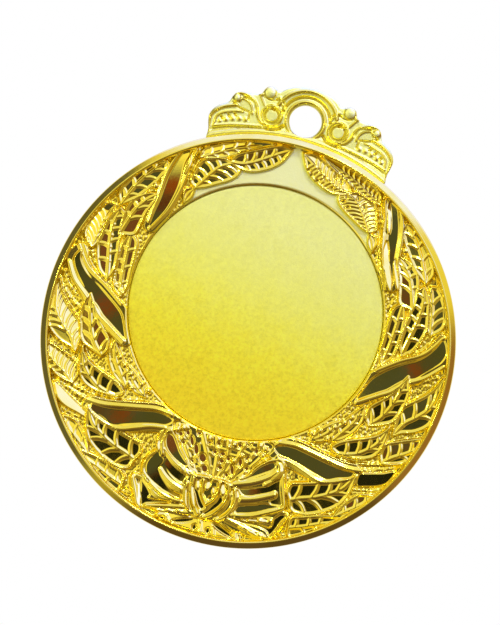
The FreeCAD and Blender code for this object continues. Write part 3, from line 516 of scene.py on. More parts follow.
band(1, LOWER_IN, BAND_LINES["lower"], crown=0.003, crown_dir=(1, 0.1), width=1.1)
band(-1, LOWER_IN, BAND_LINES["lower"], crown=-0.0045, crown_dir=(1, 0.1), tilt=(-0.0191, -0.0227), width=1.1)
W.flat(LOWER_OUT, 1.12, wall=0.16, tilt=(-0.024, 0.054))
W.flat([(-25.6, -12.7), (-24.8, -13.0), (-23.2, -14.0), (-21.5, -15.0), (-20.0, -15.9), (-20.0, -16.5), (-21.5, -16.2), (-23.3, -15.7), (-24.5, -14.9), (-25.2, -13.8)],
       1.14, wall=0.2, tilt=(-0.19, -0.285))

for name in LEAVES:
    if name in LOW:
        continue
    for side in (1, -1):
        fine = (name, side) in FINE
        W.leaf(finer(LEAVES[name]) if fine else LEAVES[name], side, 1.13, 1.28, edge_w=0.27 if fine else 0.33,
               vein_w=0.22 if fine else 0.27, lean=LEAN.get((name, side), (0.0, 0.0)), roof=0.10 if fine else 0.02, slant=0.2)

for side in (1, -1):
    for x, z in [(12.2, -10.6), (13.3, -9.9), (14.6, -10.8), (15.2, -8.9), (16.4, -7.9), (17.3, -6.9)]:
        W.dome(side * x, z, 0.42, 0.42, base=0.85)
    W.dome(side * 18.6, 18.3, 0.5, 0.5, base=0.95)

# ---------------------------------------------------------------- sprigs behind the bow
def oval(x, z, width, length, turn):
    t = math.radians(turn)
    a = np.linspace(0, 2 * math.pi, 14, endpoint=False)
    u, w = width / 2 * np.cos(a), length / 2 * np.sin(a)
    return [(x + p * math.cos(t) - q * math.sin(t), z + p * math.sin(t) + q * math.cos(t)) for p, q in zip(u, w)]


def pit(x, z, width, length, turn=0.0, depth=0.3, tilt=(0.0, 0.0), wall=0.14):
    """A small dished hollow; turn is measured from upright, against the clock."""
    idx = np.nonzero((np.abs(W.p[:, 0] - x) < 0.2) & (np.abs(W.p[:, 1] - z) < 0.2))[0]
    level = (W.h[idx].max() if len(idx) else 1.0) - depth
    W.flat(oval(x, z, width * 1.25, length * 1.2, turn), level, wall=0.09, tilt=tilt, mirror=0.9, sharp=True)


FAN = [(-7.2, -14.0), (-5.8, -13.5), (-3.6, -13.4), (-1.6, -14.0), (0.0, -14.2), (1.6, -14.1), (3.8, -13.5), (6.0, -13.3), (7.4, -13.8),
       (6.6, -15.4), (5.4, -17.0), (4.2, -18.8), (3.2, -20.4), (0.0, -21.0), (-2.8, -20.6), (-3.8, -19.2), (-5.2, -17.6), (-6.4, -15.8)]
W.flat(FAN, 0.86, wall=0.35, mirror=0.0)
for pts, rise, half in [([(-1.0, -20.4), (-2.6, -18.2), (-4.0, -16.3), (-5.6, -14.0)], 0.22, 0.36), ([(-2.6, -20.3), (-4.2, -18.0), (-5.4, -16.1), (-6.7, -14.2)], 0.22, 0.40),
                        ([(-0.4, -20.4), (-1.2, -18.0), (-2.2, -16.0), (-3.2, -14.0)], 0.20, 0.36), ([(0.15, -20.4), (0.05, -18.0), (-0.3, -16.0), (-0.8, -14.3)], 0.24, 0.36),
                        ([(0.7, -20.4), (1.35, -18.0), (1.3, -16.0), (0.9, -14.4)], 0.2, 0.36), ([(1.2, -20.4), (2.0, -18.6), (2.8, -16.8), (3.3, -15.0), (4.3, -13.8)], 0.22, 0.36),
                        ([(2.3, -20.3), (3.2, -18.4), (4.1, -16.9), (5.0, -15.6), (5.9, -14.2)], 0.22, 0.38), ([(3.2, -20.2), (4.6, -18.2), (5.7, -16.6), (6.9, -14.6)], 0.22, 0.36)]:
    W.line(pts, rise * 0.55, half, soft=0.2)
for a, b in [((-1.7, -19.6), (-2.5, -19.5)), ((-2.5, -18.6), (-3.3, -18.3)), ((-3.3, -17.4), (-4.3, -17.3)), ((-4.1, -16.5), (-5.1, -16.3)), ((-4.9, -15.5), (-6.0, -15.0)),
             ((-0.5, -19.0), (-1.4, -18.8)), ((-0.7, -17.2), (-1.7, -17.0)), ((-1.1, -16.0), (-2.1, -15.9)), ((0.2, -19.3), (1.2, -19.2)), ((0.15, -18.2), (1.3, -18.25)),
             ((0.1, -17.2), (1.3, -17.2)), ((-0.1, -16.1), (1.2, -16.1)), ((-0.4, -15.2), (1.0, -15.2)), ((1.7, -19.0), (2.6, -19.3)), ((2.3, -17.9), (3.2, -18.2)),
             ((2.9, -16.6), (3.9, -16.9)), ((3.3, -15.6), (4.6, -15.9)), ((4.4, -14.8), (5.3, -14.9)), ((1.4, -16.6), (2.6, -16.6)), ((1.3, -15.4), (2.7, -15.6))]:
    W.line([a, b], 0.08, 0.30, soft=0.2)
W.flush()
for x, z, w, q, t in [(-6.0, -15.4, 0.55, 0.7, 20), (-5.0, -15.0, 0.4, 0.75, 15), (-4.15, -16.0, 0.5, 1.2, 20), (-3.25, -17.0, 0.6, 1.3, 15), (-2.05, -18.0, 0.85, 1.15, 20),
                      (-1.4, -19.4, 0.75, 1.0, 20), (-1.6, -15.5, 0.5, 0.6, -20), (-3.4, -14.6, 0.42, 0.7, 0), (-3.4, -18.8, 0.5, 0.5, 30), (-5.3, -16.5, 0.4, 0.4, 0),
                      (-0.25, -15.4, 0.35, 0.6, 0), (0.65, -16.7, 0.65, 0.42, 0), (0.75, -17.75, 0.65, 0.5, 10), (0.75, -18.7, 0.65, 0.5, 0), (0.0, -20.5, 0.6, 0.45, 0),
                      (1.9, -19.5, 0.45, 0.6, 20), (2.5, -18.6, 0.45, 1.25, 15), (3.4, -17.25, 0.4, 1.1, 10), (4.3, -16.4, 0.45, 0.75, -15), (3.9, -14.35, 0.6, 0.42, -20),
                      (2.75, -14.9, 0.42, 0.5, 0), (5.25, -15.1, 0.36, 0.7, 0), (-0.5, -16.7, 0.45, 0.4, 0), (4.5, -17.9, 0.4, 0.6, -40), (1.6, -17.2, 0.35, 0.5, 0)]:
    pit(x, z, max(w * 1.12, 0.56), max(q * 1.1, 0.66), t, depth=0.30, tilt=(0.078, -0.012))
for x, z, r in [(-5.85, -14.4, 0.42), (-3.55, -14.0, 0.36), (-1.75, -14.9, 0.42), (1.9, -14.8, 0.46), (4.1, -13.85, 0.36), (5.6, -14.1, 0.4), (6.3, -14.5, 0.42), (6.2, -15.5, 0.4),
                (0.3, -14.7, 0.36), (-6.6, -14.9, 0.36), (1.2, -15.5, 0.3), (3.3, -16.3, 0.32), (2.35, -17.3, 0.34)]:
    W.dome(x, z, r, 0.30, base=0.98)

# ---------------------------------------------------------------- bow
def ribbon(points, level, wall=0.3, mirror=0.2):
    W.flat(points, level, wall=wall, mirror=mirror)


def dark(points, level, tilt=(0, 0), wall=0.13, crown=0.0, crown_dir=None):
    W.flat(points, level, wall=wall, tilt=tilt, mirror=1.0, crown=crown, crown_dir=crown_dir)


def ridge(points, rise=0.2, half=0.4, taper=(1, 1), soft=0.2):
    W.line(points, rise, half, taper, soft=soft)


TAIL_L = [(-1.6, -25.6), (-3.6, -25.2), (-6.2, -24.6), (-8.6, -23.4), (-9.6, -22.8), (-11.3, -22.8), (-11.2, -24.2), (-10.4, -25.6), (-9.6, -27.0), (-8.0, -26.8),
          (-5.0, -27.2), (-2.4, -27.0)]
TAIL_R = [(1.4, -25.8), (3.6, -25.2), (6.2, -24.6), (8.8, -23.6), (10.6, -22.6), (12.0, -22.6), (11.9, -23.6), (11.2, -25.2), (10.4, -26.7), (8.8, -27.2),
          (6.4, -27.2), (3.6, -26.9), (2.0, -26.6)]
ribbon(TAIL_L, 1.16)
ribbon(TAIL_R, 1.16)
LOOP_R = [(2.4, -20.9), (3.6, -19.8), (4.9, -18.9), (5.6, -17.7), (6.5, -16.6), (7.4, -15.8), (8.6, -15.4), (9.6, -15.8), (10.0, -17.0), (10.3, -18.6), (10.8, -20.4),
          (11.2, -22.0), (10.0, -22.9), (8.4, -23.8), (6.6, -24.6), (4.2, -25.2), (2.6, -24.6)]
LOOP_L = [(-2.4, -20.8), (-3.6, -19.7), (-4.6, -18.6), (-5.6, -17.4), (-6.6, -15.9), (-7.4, -15.1), (-8.2, -15.2), (-8.9, -16.2), (-8.95, -17.3), (-8.7, -18.3),
          (-9.6, -19.4), (-10.1, -20.6), (-10.0, -22.0), (-8.9, -23.2), (-7.0, -24.4), (-5.0, -25.0), (-3.2, -24.9), (-2.4, -24.2)]
ribbon(LOOP_L, 1.30)
ribbon(LOOP_R, 1.30)
# raised folds and edges of the loops
ridge([(-7.5, -15.3), (-8.2, -15.8), (-8.35, -16.8), (-8.15, -17.8), (-7.9, -18.8)], 0.30, 0.55)
ridge([(-8.0, -18.0), (-7.2, -18.5), (-6.2, -19.35), (-5.0, -20.05), (-3.9, -20.45), (-2.7, -20.7)], 0.22, 0.42)
ridge([(-3.3, -19.5), (-4.3, -18.75), (-5.4, -17.6), (-6.3, -16.4), (-7.2, -15.5)], 0.18, 0.34)
ridge([(-7.6, -21.0), (-6.9, -21.7), (-6.0, -22.35), (-5.0, -22.8), (-3.9, -23.15), (-3.0, -23.3)], 0.24, 0.50, (0.6, 1.15))
ridge([(-8.9, -18.6), (-9.8, -19.6), (-10.2, -20.8), (-10.0, -22.0), (-9.0, -23.0), (-8.0, -23.7), (-6.8, -24.35), (-5.5, -24.75), (-4.2, -24.9), (-3.2, -24.8)], 0.20, 0.42)
ridge([(8.5, -15.5), (9.3, -15.9), (9.4, -16.9), (9.05, -17.8), (8.5, -18.7), (7.8, -19.3)], 0.30, 0.55)
ridge([(3.0, -20.6), (4.3, -20.15), (5.6, -19.65), (7.0, -18.9), (8.1, -18.1), (8.8, -17.3)], 0.24, 0.48)
ridge([(3.6, -19.5), (4.75, -18.75), (5.5, -17.7), (6.3, -16.8), (7.3, -16.0), (8.3, -15.6)], 0.18, 0.34)
ridge([(4.3, -22.45), (5.75, -22.1), (7.0, -21.65), (8.25, -21.05), (9.3, -20.5)], 0.26, 0.52, (1.1, 0.9))
ridge([(3.4, -25.0), (5.5, -24.7), (7.0, -24.25), (8.5, -23.5), (10.0, -22.7), (11.1, -22.0)], 0.20, 0.40)
ridge([(9.9, -17.6), (10.3, -19.2), (10.75, -20.6), (11.15, -21.9)], 0.18, 0.34)
# tails
ridge([(-11.2, -23.2), (-10.7, -24.3), (-10.15, -25.5), (-9.55, -27.0)], 0.26, 0.46)
ridge([(-8.2, -24.2), (-7.0, -24.9), (-5.2, -25.2), (-3.4, -25.0)], 0.20, 0.36)
ridge([(-2.6, -25.45), (-5.0, -25.95), (-6.6, -26.3), (-8.2, -26.7)], 0.24, 0.42)
ridge([(-1.6, -26.1), (-4.2, -26.5), (-6.6, -26.9)], 0.20, 0.34)
ridge([(4.6, -25.15), (6.4, -24.75), (8.4, -24.4), (9.7, -24.3)], 0.26, 0.48, (0.7, 1.1))
ridge([(3.4, -25.6), (5.2, -26.0), (7.0, -26.45), (9.2, -26.85)], 0.26, 0.50)
ridge([(11.9, -23.0), (11.4, -24.3), (10.9, -25.5), (10.3, -26.7)], 0.20, 0.34)
W.flush()
# mirror faces
dark([(-7.8, -15.75), (-7.0, -15.9), (-6.5, -16.5), (-6.0, -17.25), (-5.5, -18.0), (-4.75, -18.75), (-3.9, -19.5), (-4.3, -19.75), (-5.3, -19.4), (-6.2, -18.95),
      (-7.0, -18.35), (-7.6, -17.6), (-7.9, -16.6)], 1.20, tilt=(0.045, -0.005), crown=0.012, crown_dir=(1, -1))
dark([(-7.1, -19.4), (-6.0, -20.0), (-5.0, -20.5), (-3.75, -21.0), (-3.0, -21.5), (-3.2, -22.0), (-4.0, -22.2), (-5.0, -21.95), (-6.0, -21.4), (-6.75, -20.7), (-7.25, -20.1)],
     1.20, tilt=(-0.060, 0.052), crown=0.012, crown_dir=(1, -0.4))
dark([(-8.5, -18.4), (-8.1, -19.2), (-7.5, -19.6), (-7.5, -20.1), (-7.9, -20.8), (-7.8, -21.4), (-7.25, -22.0), (-6.5, -22.7), (-5.7, -23.35), (-4.75, -23.75), (-3.75, -24.0),
      (-3.6, -24.45), (-4.5, -24.5), (-5.5, -24.2), (-6.5, -23.9), (-7.5, -23.4), (-8.5, -22.8), (-9.3, -22.1), (-9.65, -21.25), (-9.55, -20.25), (-9.0, -19.3)],
     1.26, tilt=(-0.045, 0.040), crown=0.010, crown_dir=(1, -1))
dark([(3.9, -19.75), (4.5, -19.4), (5.25, -18.6), (5.9, -17.6), (6.75, -16.7), (7.75, -16.1), (8.3, -16.2), (8.4, -16.75), (8.0, -17.25), (7.25, -17.75), (6.5, -18.25),
      (5.5, -18.9), (4.75, -19.4)], 1.20, crown=0.014, crown_dir=(1, 1))
dark([(4.1, -20.95), (5.4, -20.6), (6.75, -20.1), (8.0, -19.5), (8.75, -18.8), (9.5, -18.3), (9.75, -19.0), (10.1, -20.1), (10.5, -21.1), (10.7, -21.7), (9.9, -21.95), (9.0, -21.9),
      (8.9, -21.4), (9.55, -20.9), (9.6, -20.2), (9.2, -19.95), (8.6, -20.35), (8.0, -20.65), (7.0, -21.1), (6.0, -21.55), (5.0, -21.65), (4.4, -21.3)],
     1.22, tilt=(-0.035, 0.046), crown=0.010, crown_dir=(1, 0.2))
dark([(4.5, -23.5), (5.5, -23.05), (7.0, -22.6), (8.25, -22.1), (9.25, -22.05), (10.6, -21.95), (10.0, -22.3), (9.0, -22.75), (8.0, -23.3), (6.75, -23.85), (5.5, -24.25),
      (4.6, -24.45), (4.35, -24.0)], 1.22, crown=0.008, crown_dir=(1, 0.2))
dark([(-10.8, -23.15), (-10.0, -23.2), (-9.25, -23.7), (-8.5, -24.4), (-8.1, -25.0), (-8.3, -25.45), (-7.25, -25.55), (-6.0, -25.4), (-5.0, -25.3), (-5.5, -25.6),
      (-6.5, -25.85), (-7.5, -26.1), (-8.4, -26.4), (-8.95, -26.85), (-9.2, -26.4), (-9.5, -25.5), (-9.85, -24.7), (-10.3, -23.9)], 0.98, tilt=(-0.06, 0.04), crown=0.01, crown_dir=(1, -1))
dark([(11.0, -22.95), (11.7, -23.1), (11.2, -24.0), (10.85, -25.0), (10.45, -25.9), (10.0, -26.4), (9.6, -25.95), (8.8, -25.65), (7.4, -25.55), (5.8, -25.6), (7.4, -25.25),
      (8.8, -25.3), (9.8, -25.3), (10.05, -24.7), (10.05, -24.0), (10.5, -23.4)], 0.98, tilt=(-0.035, 0.045))
# knot: strands wrapped over each other
KNOT = [(-3.4, -21.2), (-2.0, -20.55), (0.0, -20.4), (2.0, -20.45), (3.6, -20.9), (4.4, -22.0), (4.3, -23.6), (3.6, -25.0), (2.4, -26.2), (0.6, -26.6), (-1.4, -26.4),
        (-2.7, -25.6), (-3.4, -24.4), (-3.7, -22.8)]
W.flat(KNOT, 1.30, wall=0.34, mirror=0.3)
for pts, rise, half in [([(-3.35, -22.0), (-3.2, -23.3), (-2.85, -24.4), (-2.35, -25.5)], 0.30, 0.34),
                        ([(-2.55, -21.0), (-2.45, -22.5), (-2.0, -23.8), (-1.4, -25.0), (-0.8, -25.9)], 0.34, 0.40),
                        ([(-1.1, -21.0), (-0.98, -22.4), (-0.6, -23.4), (0.05, -24.3)], 0.34, 0.34),
                        ([(0.05, -24.3), (0.75, -23.55), (1.2, -22.6), (1.35, -21.5), (1.2, -20.8)], 0.36, 0.34),
                        ([(2.65, -20.8), (2.75, -22.3), (2.5, -23.6), (1.8, -24.8), (1.0, -25.7), (0.1, -26.2)], 0.36, 0.38),
                        ([(3.6, -21.3), (4.0, -22.4), (3.95, -23.6), (3.5, -24.8), (2.8, -25.7), (2.0, -26.2)], 0.32, 0.38),
                        ([(-2.6, -20.75), (-1.0, -20.6), (1.0, -20.55), (3.0, -20.8)], 0.28, 0.34)]:
    W.line(pts, rise, half, soft=0.15)
W.flush()
dark([(-2.3, -22.3), (-1.9, -22.5), (-1.5, -22.75), (-1.05, -23.4), (-0.55, -24.1), (0.0, -24.8), (-0.45, -25.2), (-0.95, -24.85), (-1.4, -24.1), (-1.8, -23.3), (-2.15, -22.8)], 1.18, tilt=(-0.05, 0.05))
dark([(1.75, -22.7), (2.15, -22.85), (2.35, -23.25), (2.0, -24.05), (1.5, -24.7), (0.9, -25.35), (0.25, -25.9), (0.0, -25.6), (0.5, -24.95), (1.0, -24.15), (1.45, -23.5)], 1.18, tilt=(-0.05, 0.05))
dark([(3.25, -22.5), (3.55, -22.9), (3.55, -23.75), (3.25, -24.5), (2.6, -25.3), (2.2, -25.75), (2.4, -25.1), (2.85, -24.3), (3.15, -23.5)], 1.16, tilt=(-0.05, 0.05))
dark([(-2.95, -23.1), (-2.72, -23.2), (-2.25, -24.6), (-1.65, -25.75), (-1.95, -25.75), (-2.5, -24.8)], 1.16, wall=0.1)
for x, z, w, q, t in [(-0.5, -22.75, 0.40, 0.7, 0), (0.45, -23.3, 0.46, 0.6, -30), (3.15, -21.7, 0.25, 0.6, -15), (-0.1, -20.62, 0.45, 0.24, 0), (1.75, -20.75, 0.45, 0.22, 0)]:
    pit(x, z, w, q, t, depth=0.24)


def shine(x, z, width, length, turn=0.0, lift=0.0, tilt=(-0.29, -0.32)):
    """A small bright cut that faces up and to the right."""
    idx = np.nonzero((np.abs(W.p[:, 0] - x) < 0.25) & (np.abs(W.p[:, 1] - z) < 0.25))[0]
    level = float(np.median(W.h[idx])) + lift if len(idx) else 1.2
    W.flat(oval(x, z, width, length, turn), level, wall=0.08, tilt=tilt, mirror=0.5, sharp=True)


for x, z, w, q, t in [(-1.75, -21.8, 0.50, 1.25, 3), (-0.32, -21.6, 0.62, 1.30, -12), (0.62, -22.1, 0.40, 0.95, 5), (1.9, -21.6, 0.66, 1.60, 8), (4.15, -21.75, 0.42, 1.1, 24),
                      (3.3, -21.75, 0.30, 0.8, 0), (-5.8, -14.35, 0.34, 0.44, 0), (-3.57, -14.05, 0.28, 0.40, 0), (-1.76, -14.9, 0.32, 0.44, 0),
                      (1.92, -14.85, 0.38, 0.46, 0), (4.03, -14.05, 0.42, 0.32, 0), (5.6, -14.1, 0.3, 0.46, -30), (-2.9, -16.0, 0.26, 0.5, 20), (4.6, -16.6, 0.28, 0.5, -30),
                      (-4.5, -20.05, 0.30, 1.1, 55), (-3.5, -20.6, 0.34, 1.0, 62), (-9.7, -22.6, 0.34, 1.1, 50), (-9.0, -23.1, 0.34, 1.0, 55),
                      (8.6, -24.5, 0.55, 1.5, -78), (7.2, -24.85, 0.42, 1.5, -74), (5.8, -25.15, 0.32, 1.4, -76),
                      (-4.6, -26.35, 0.3, 1.5, -76), (-6.1, -26.7, 0.3, 1.4, -76), (-3.2, -26.0, 0.3, 1.3, -70), (6.2, -26.45, 0.3, 1.5, 78), (7.6, -26.55, 0.36, 1.5, 84), (9.0, -26.5, 0.3, 1.1, 88)]:
    shine(x, z, w, q, t)


def slope(points, width, lean=0.42, along=0.12, lift=0.0):
    """A bright slope that follows a line and faces right of it."""
    c = catmull(points, step=0.1)
    if c[0, 1] > c[-1, 1]:
        c = c[::-1]
    idx = W.near(c, width)
    seg = c[1:] - c[:-1]
    ln = np.hypot(seg[:, 0], seg[:, 1])
    cum = np.concatenate([[0], np.cumsum(ln)])
    rel = W.p[idx][:, None, :] - c[None, :-1, :]
    t = np.clip((rel * seg[None]).sum(2) / (ln ** 2)[None], 0, 1)
    q = rel - seg[None] * t[..., None]
    k = (q ** 2).sum(2).argmin(1)
    r = np.arange(len(k))
    d = np.hypot(q[r, k, 0], q[r, k, 1])
    side = (rel[r, k, 0] * seg[k, 1] - rel[r, k, 1] * seg[k, 0]) / ln[k]
    pos = cum[k] + t[r, k] * ln[k]
    end = np.minimum(pos, cum[-1] - pos)
    w = width / 2 * np.clip(0.35 + end / (0.25 * cum[-1]), 0, 1)
    mid = c[len(c) // 2]
    near = np.hypot(W.p[idx, 0] - mid[0], W.p[idx, 1] - mid[1]) < 0.3
    level = (float(np.median(W.h[idx][near])) if near.any() else 1.2) + lift
    z = level - lean * side - along * (pos - cum[-1] / 2)
    m = smooth(-0.08, 0.03, w - d)
    W.h[idx] = W.h[idx] * (1 - m) + z * m
    W.mirror[idx] = W.mirror[idx] * (1 - m) + 0.5 * m
    W.frost[idx] *= 1 - m


# broad bright slope beside the recess at the right, cream ridges of the upper bands and of the bow
for pts, w in [([(15.75, 18.9), (16.12, 16.9), (16.75, 15.2), (17.4, 13.7), (17.95, 12.3)], 0.82), ([(17.55, 16.7), (17.95, 15.4), (18.55, 13.9), (19.05, 12.6)], 0.46),
               ([(14.75, 24.4), (15.1, 22.9), (15.5, 21.3), (15.75, 20.2)], 0.52), ([(13.65, 24.7), (13.95, 23.3), (14.3, 21.9)], 0.44), ([(14.25, 21.2), (14.4, 19.6), (14.75, 17.6)], 0.34),
               ([(-8.2, -15.4), (-8.6, -16.4), (-8.75, -17.4), (-8.5, -18.5)], 0.56), ([(8.4, -15.7), (9.1, -16.05), (9.42, -16.8), (9.2, -17.7), (8.5, -18.5)], 0.56),
               ([(-3.25, -22.7), (-3.05, -24.0), (-2.65, -25.3)], 0.36), ([(-2.55, -22.1), (-2.2, -23.5), (-1.45, -25.1)], 0.38),
               ([(-10.05, -23.5), (-9.75, -24.9), (-9.4, -26.3), (-9.1, -27.2)], 0.42), ([(-14.75, 24.3), (-14.5, 22.6), (-14.9, 21.0)], 0.36)]:
    slope(pts, w)
# notches along the top right leaves
for x, z, t in [(2.2, 26.1, -50), (2.75, 25.4, -50), (3.8, 24.85, -60), (6.1, 24.4, -65), (8.2, 22.9, -60), (9.0, 22.3, -60), (8.5, 23.7, 20), (7.2, 25.6, 20), (4.8, 25.4, 25), (3.8, 26.4, 30),
                (6.3, 26.1, 10), (10.2, 23.9, 25), (11.4, 22.9, 20), (9.4, 25.2, 20)]:
    pit(x, z, 0.30, 0.62, t, depth=0.28)
# grooves and hollows under the bow
UNDER = [(-6.4, -27.2), (-4.6, -27.0), (-2.9, -26.8), (-1.2, -26.6), (0.4, -26.7), (1.6, -26.45), (2.6, -26.6), (4.2, -27.1), (6.4, -27.25), (6.6, -27.75),
         (4.6, -28.15), (2.4, -28.42), (0, -28.5), (-2.4, -28.42), (-4.6, -28.15), (-6.6, -27.75)]
W.flat(UNDER, 1.02, wall=0.2, tilt=(-0.07, -0.19), mirror=0.25, sharp=True)
for pts in ([(-6.2, -27.5), (-5.2, -27.3), (-4.4, -28.0)], [(-0.2, -26.8), (0.1, -27.6), (0.2, -28.4)], [(1.9, -27.4), (2.2, -28.3)], [(5.1, -27.2), (5.4, -28.0)]):
    W.line(pts, 0.16, 0.3, soft=0.2)
W.flush()
pit(-2.62, -27.42, 0.58, 2.8, -72, depth=0.26, tilt=(-0.057, 0.038))
pit(3.35, -27.46, 0.58, 2.9, 70, depth=0.26, tilt=(-0.057, 0.038))
for x, z, w, q, t in [(-4.75, -27.7, 0.28, 0.4, 0), (-0.05, -27.5, 0.3, 0.8, 5), (3.75, -26.85, 0.28, 2.2, 68), (5.85, -27.3, 0.26, 0.6, 10)]:
    shine(x, z, w, q, t)
for x, z, w, q in [(-5.6, -27.8, 0.6, 0.5), (-0.75, -27.95, 0.58, 0.8), (1.25, -28.0, 0.58, 0.8), (6.25, -27.7, 0.4, 0.55), (9.2, -27.0, 0.6, 0.3), (11.25, -26.4, 0.36, 0.55),
                   (12.0, -25.5, 0.4, 0.4), (-11.9, -25.2, 0.4, 0.4), (-10.9, -26.2, 0.36, 0.36)]:
    pit(x, z, w, q, 0, depth=0.3, tilt=(-0.057, 0.038))
W.h -= LIP * (rec < 19.0)
W.h = np.clip(W.h, 0.30, 1.98)


# ---------------------------------------------------------------- meshes
def to_world(x, z, h):
    return np.stack([x / 1000.0, -h / 1000.0, (z - RISE) / 1000.0], -1)


def make_object(name, verts, faces, material, attrs=None):
    me = bpy.data.meshes.new(name)
    counts = np.array([len(f) for f in faces], np.int32) if not isinstance(faces, np.ndarray) else None
    if isinstance(faces, np.ndarray):
        nf, k = faces.shape
        me.vertices.add(len(verts))
        me.vertices.foreach_set("co", np.asarray(verts, np.float32).ravel())
        me.loops.add(nf * k)
        me.loops.foreach_set("vertex_index", faces.astype(np.int32).ravel())
        me.polygons.add(nf)
        me.polygons.foreach_set("loop_start", np.arange(nf, dtype=np.int32) * k)
        me.polygons.foreach_set("loop_total", np.full(nf, k, np.int32))
    else:
        me.vertices.add(len(verts))
        me.vertices.foreach_set("co", np.asarray(verts, np.float32).ravel())
        flat = np.fromiter((i for f in faces for i in f), np.int32)
        me.loops.add(len(flat))
        me.loops.foreach_set("vertex_index", flat)
        me.polygons.add(len(counts))
        me.polygons.foreach_set("loop_start", np.concatenate([[0], np.cumsum(counts)[:-1]]).astype(np.int32))
        me.polygons.foreach_set("loop_total", counts)
    me.update(calc_edges=True)
    me.validate()
    me.shade_smooth()
    for key, val in (attrs or {}).items():
        a = me.attributes.new(key, "FLOAT", "POINT")
        a.data.foreach_set("value", np.asarray(val, np.float32))
    ob = bpy.data.objects.new(name, me)
    bpy.context.scene.collection.objects.link(ob)
    me.materials.append(material)
    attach(ob, "root")
    return ob


class Rings:
    """Closed skin built from rings of points; a ring may have half as many points as the one before it."""

    def __init__(self):
        self.v, self.f, self.at = [], [], []
        self.n = 0
        self.last = None

    def ring(self, x, z, h, frost=0.0, mirror=0.0):
        x, z = np.asarray(x, float), np.asarray(z, float)
        k = len(x)
        h = np.broadcast_to(np.asarray(h, float), (k,))
        self.v.append(np.stack([x, z, h], 1))
        self.at.append(np.stack([np.broadcast_to(np.asarray(frost, float), (k,)), np.broadcast_to(np.asarray(mirror, float), (k,))], 1))
        i = np.arange(k)
        j = (i + 1) % k
        base = self.n
        if self.last is not None:
            lb, lk = self.last
            if lk == k:
                self.f.append(np.stack([lb + i, lb + j, base + j, base + i], 1))
            elif lk == 2 * k:
                a0, a1, a2 = 2 * i, 2 * i + 1, (2 * i + 2) % lk
                self.f.append(np.stack([lb + a0, lb + a1, base + i, base + i], 1))
                self.f.append(np.stack([lb + a1, lb + a2, base + j, base + i], 1))
            else:
                raise ValueError("ring counts")
        self.last = (base, k)
        self.n += k

    def cap(self, x, z, h, start=False):
        self.v.append(np.array([[x, z, h]]))
        self.at.append(np.zeros((1, 2)))
        lb, lk = self.last
        i = np.arange(lk)
        j = (i + 1) % lk
        c = self.n
        q = [lb + i, lb + j, np.full(lk, c), np.full(lk, c)]
        if start:
            q = [lb + j, lb + i, np.full(lk, c), np.full(lk, c)]
        self.f.append(np.stack(q, 1))
        self.n += 1

    def build(self, name, material, flip_faces=False):
        v = np.vstack(self.v)
        at = np.vstack(self.at)
        q = np.vstack(self.f)
        faces = [tuple(r[:3]) if r[2] == r[3] else tuple(r) for r in q.tolist()]
        if flip_faces:
            faces = [f[::-1] for f in faces]
        return make_object(name, to_world(v[:, 0], v[:, 1], v[:, 2]), faces, material, {"frost": at[:, 0], "mirror": at[:, 1]})


def circle_points(n, r, zc=0.0):
    a = np.linspace(0, 2 * math.pi, n, endpoint=False)
    return r * np.cos(a), zc + r * np.sin(a)


H = W.h.reshape(NV, NU)
FR = W.frost.reshape(NV, NU)
MI = W.mirror.reshape(NV, NU)
GX = grid[:, 0].reshape(NV, NU)
GZ = grid[:, 1].reshape(NV, NU)


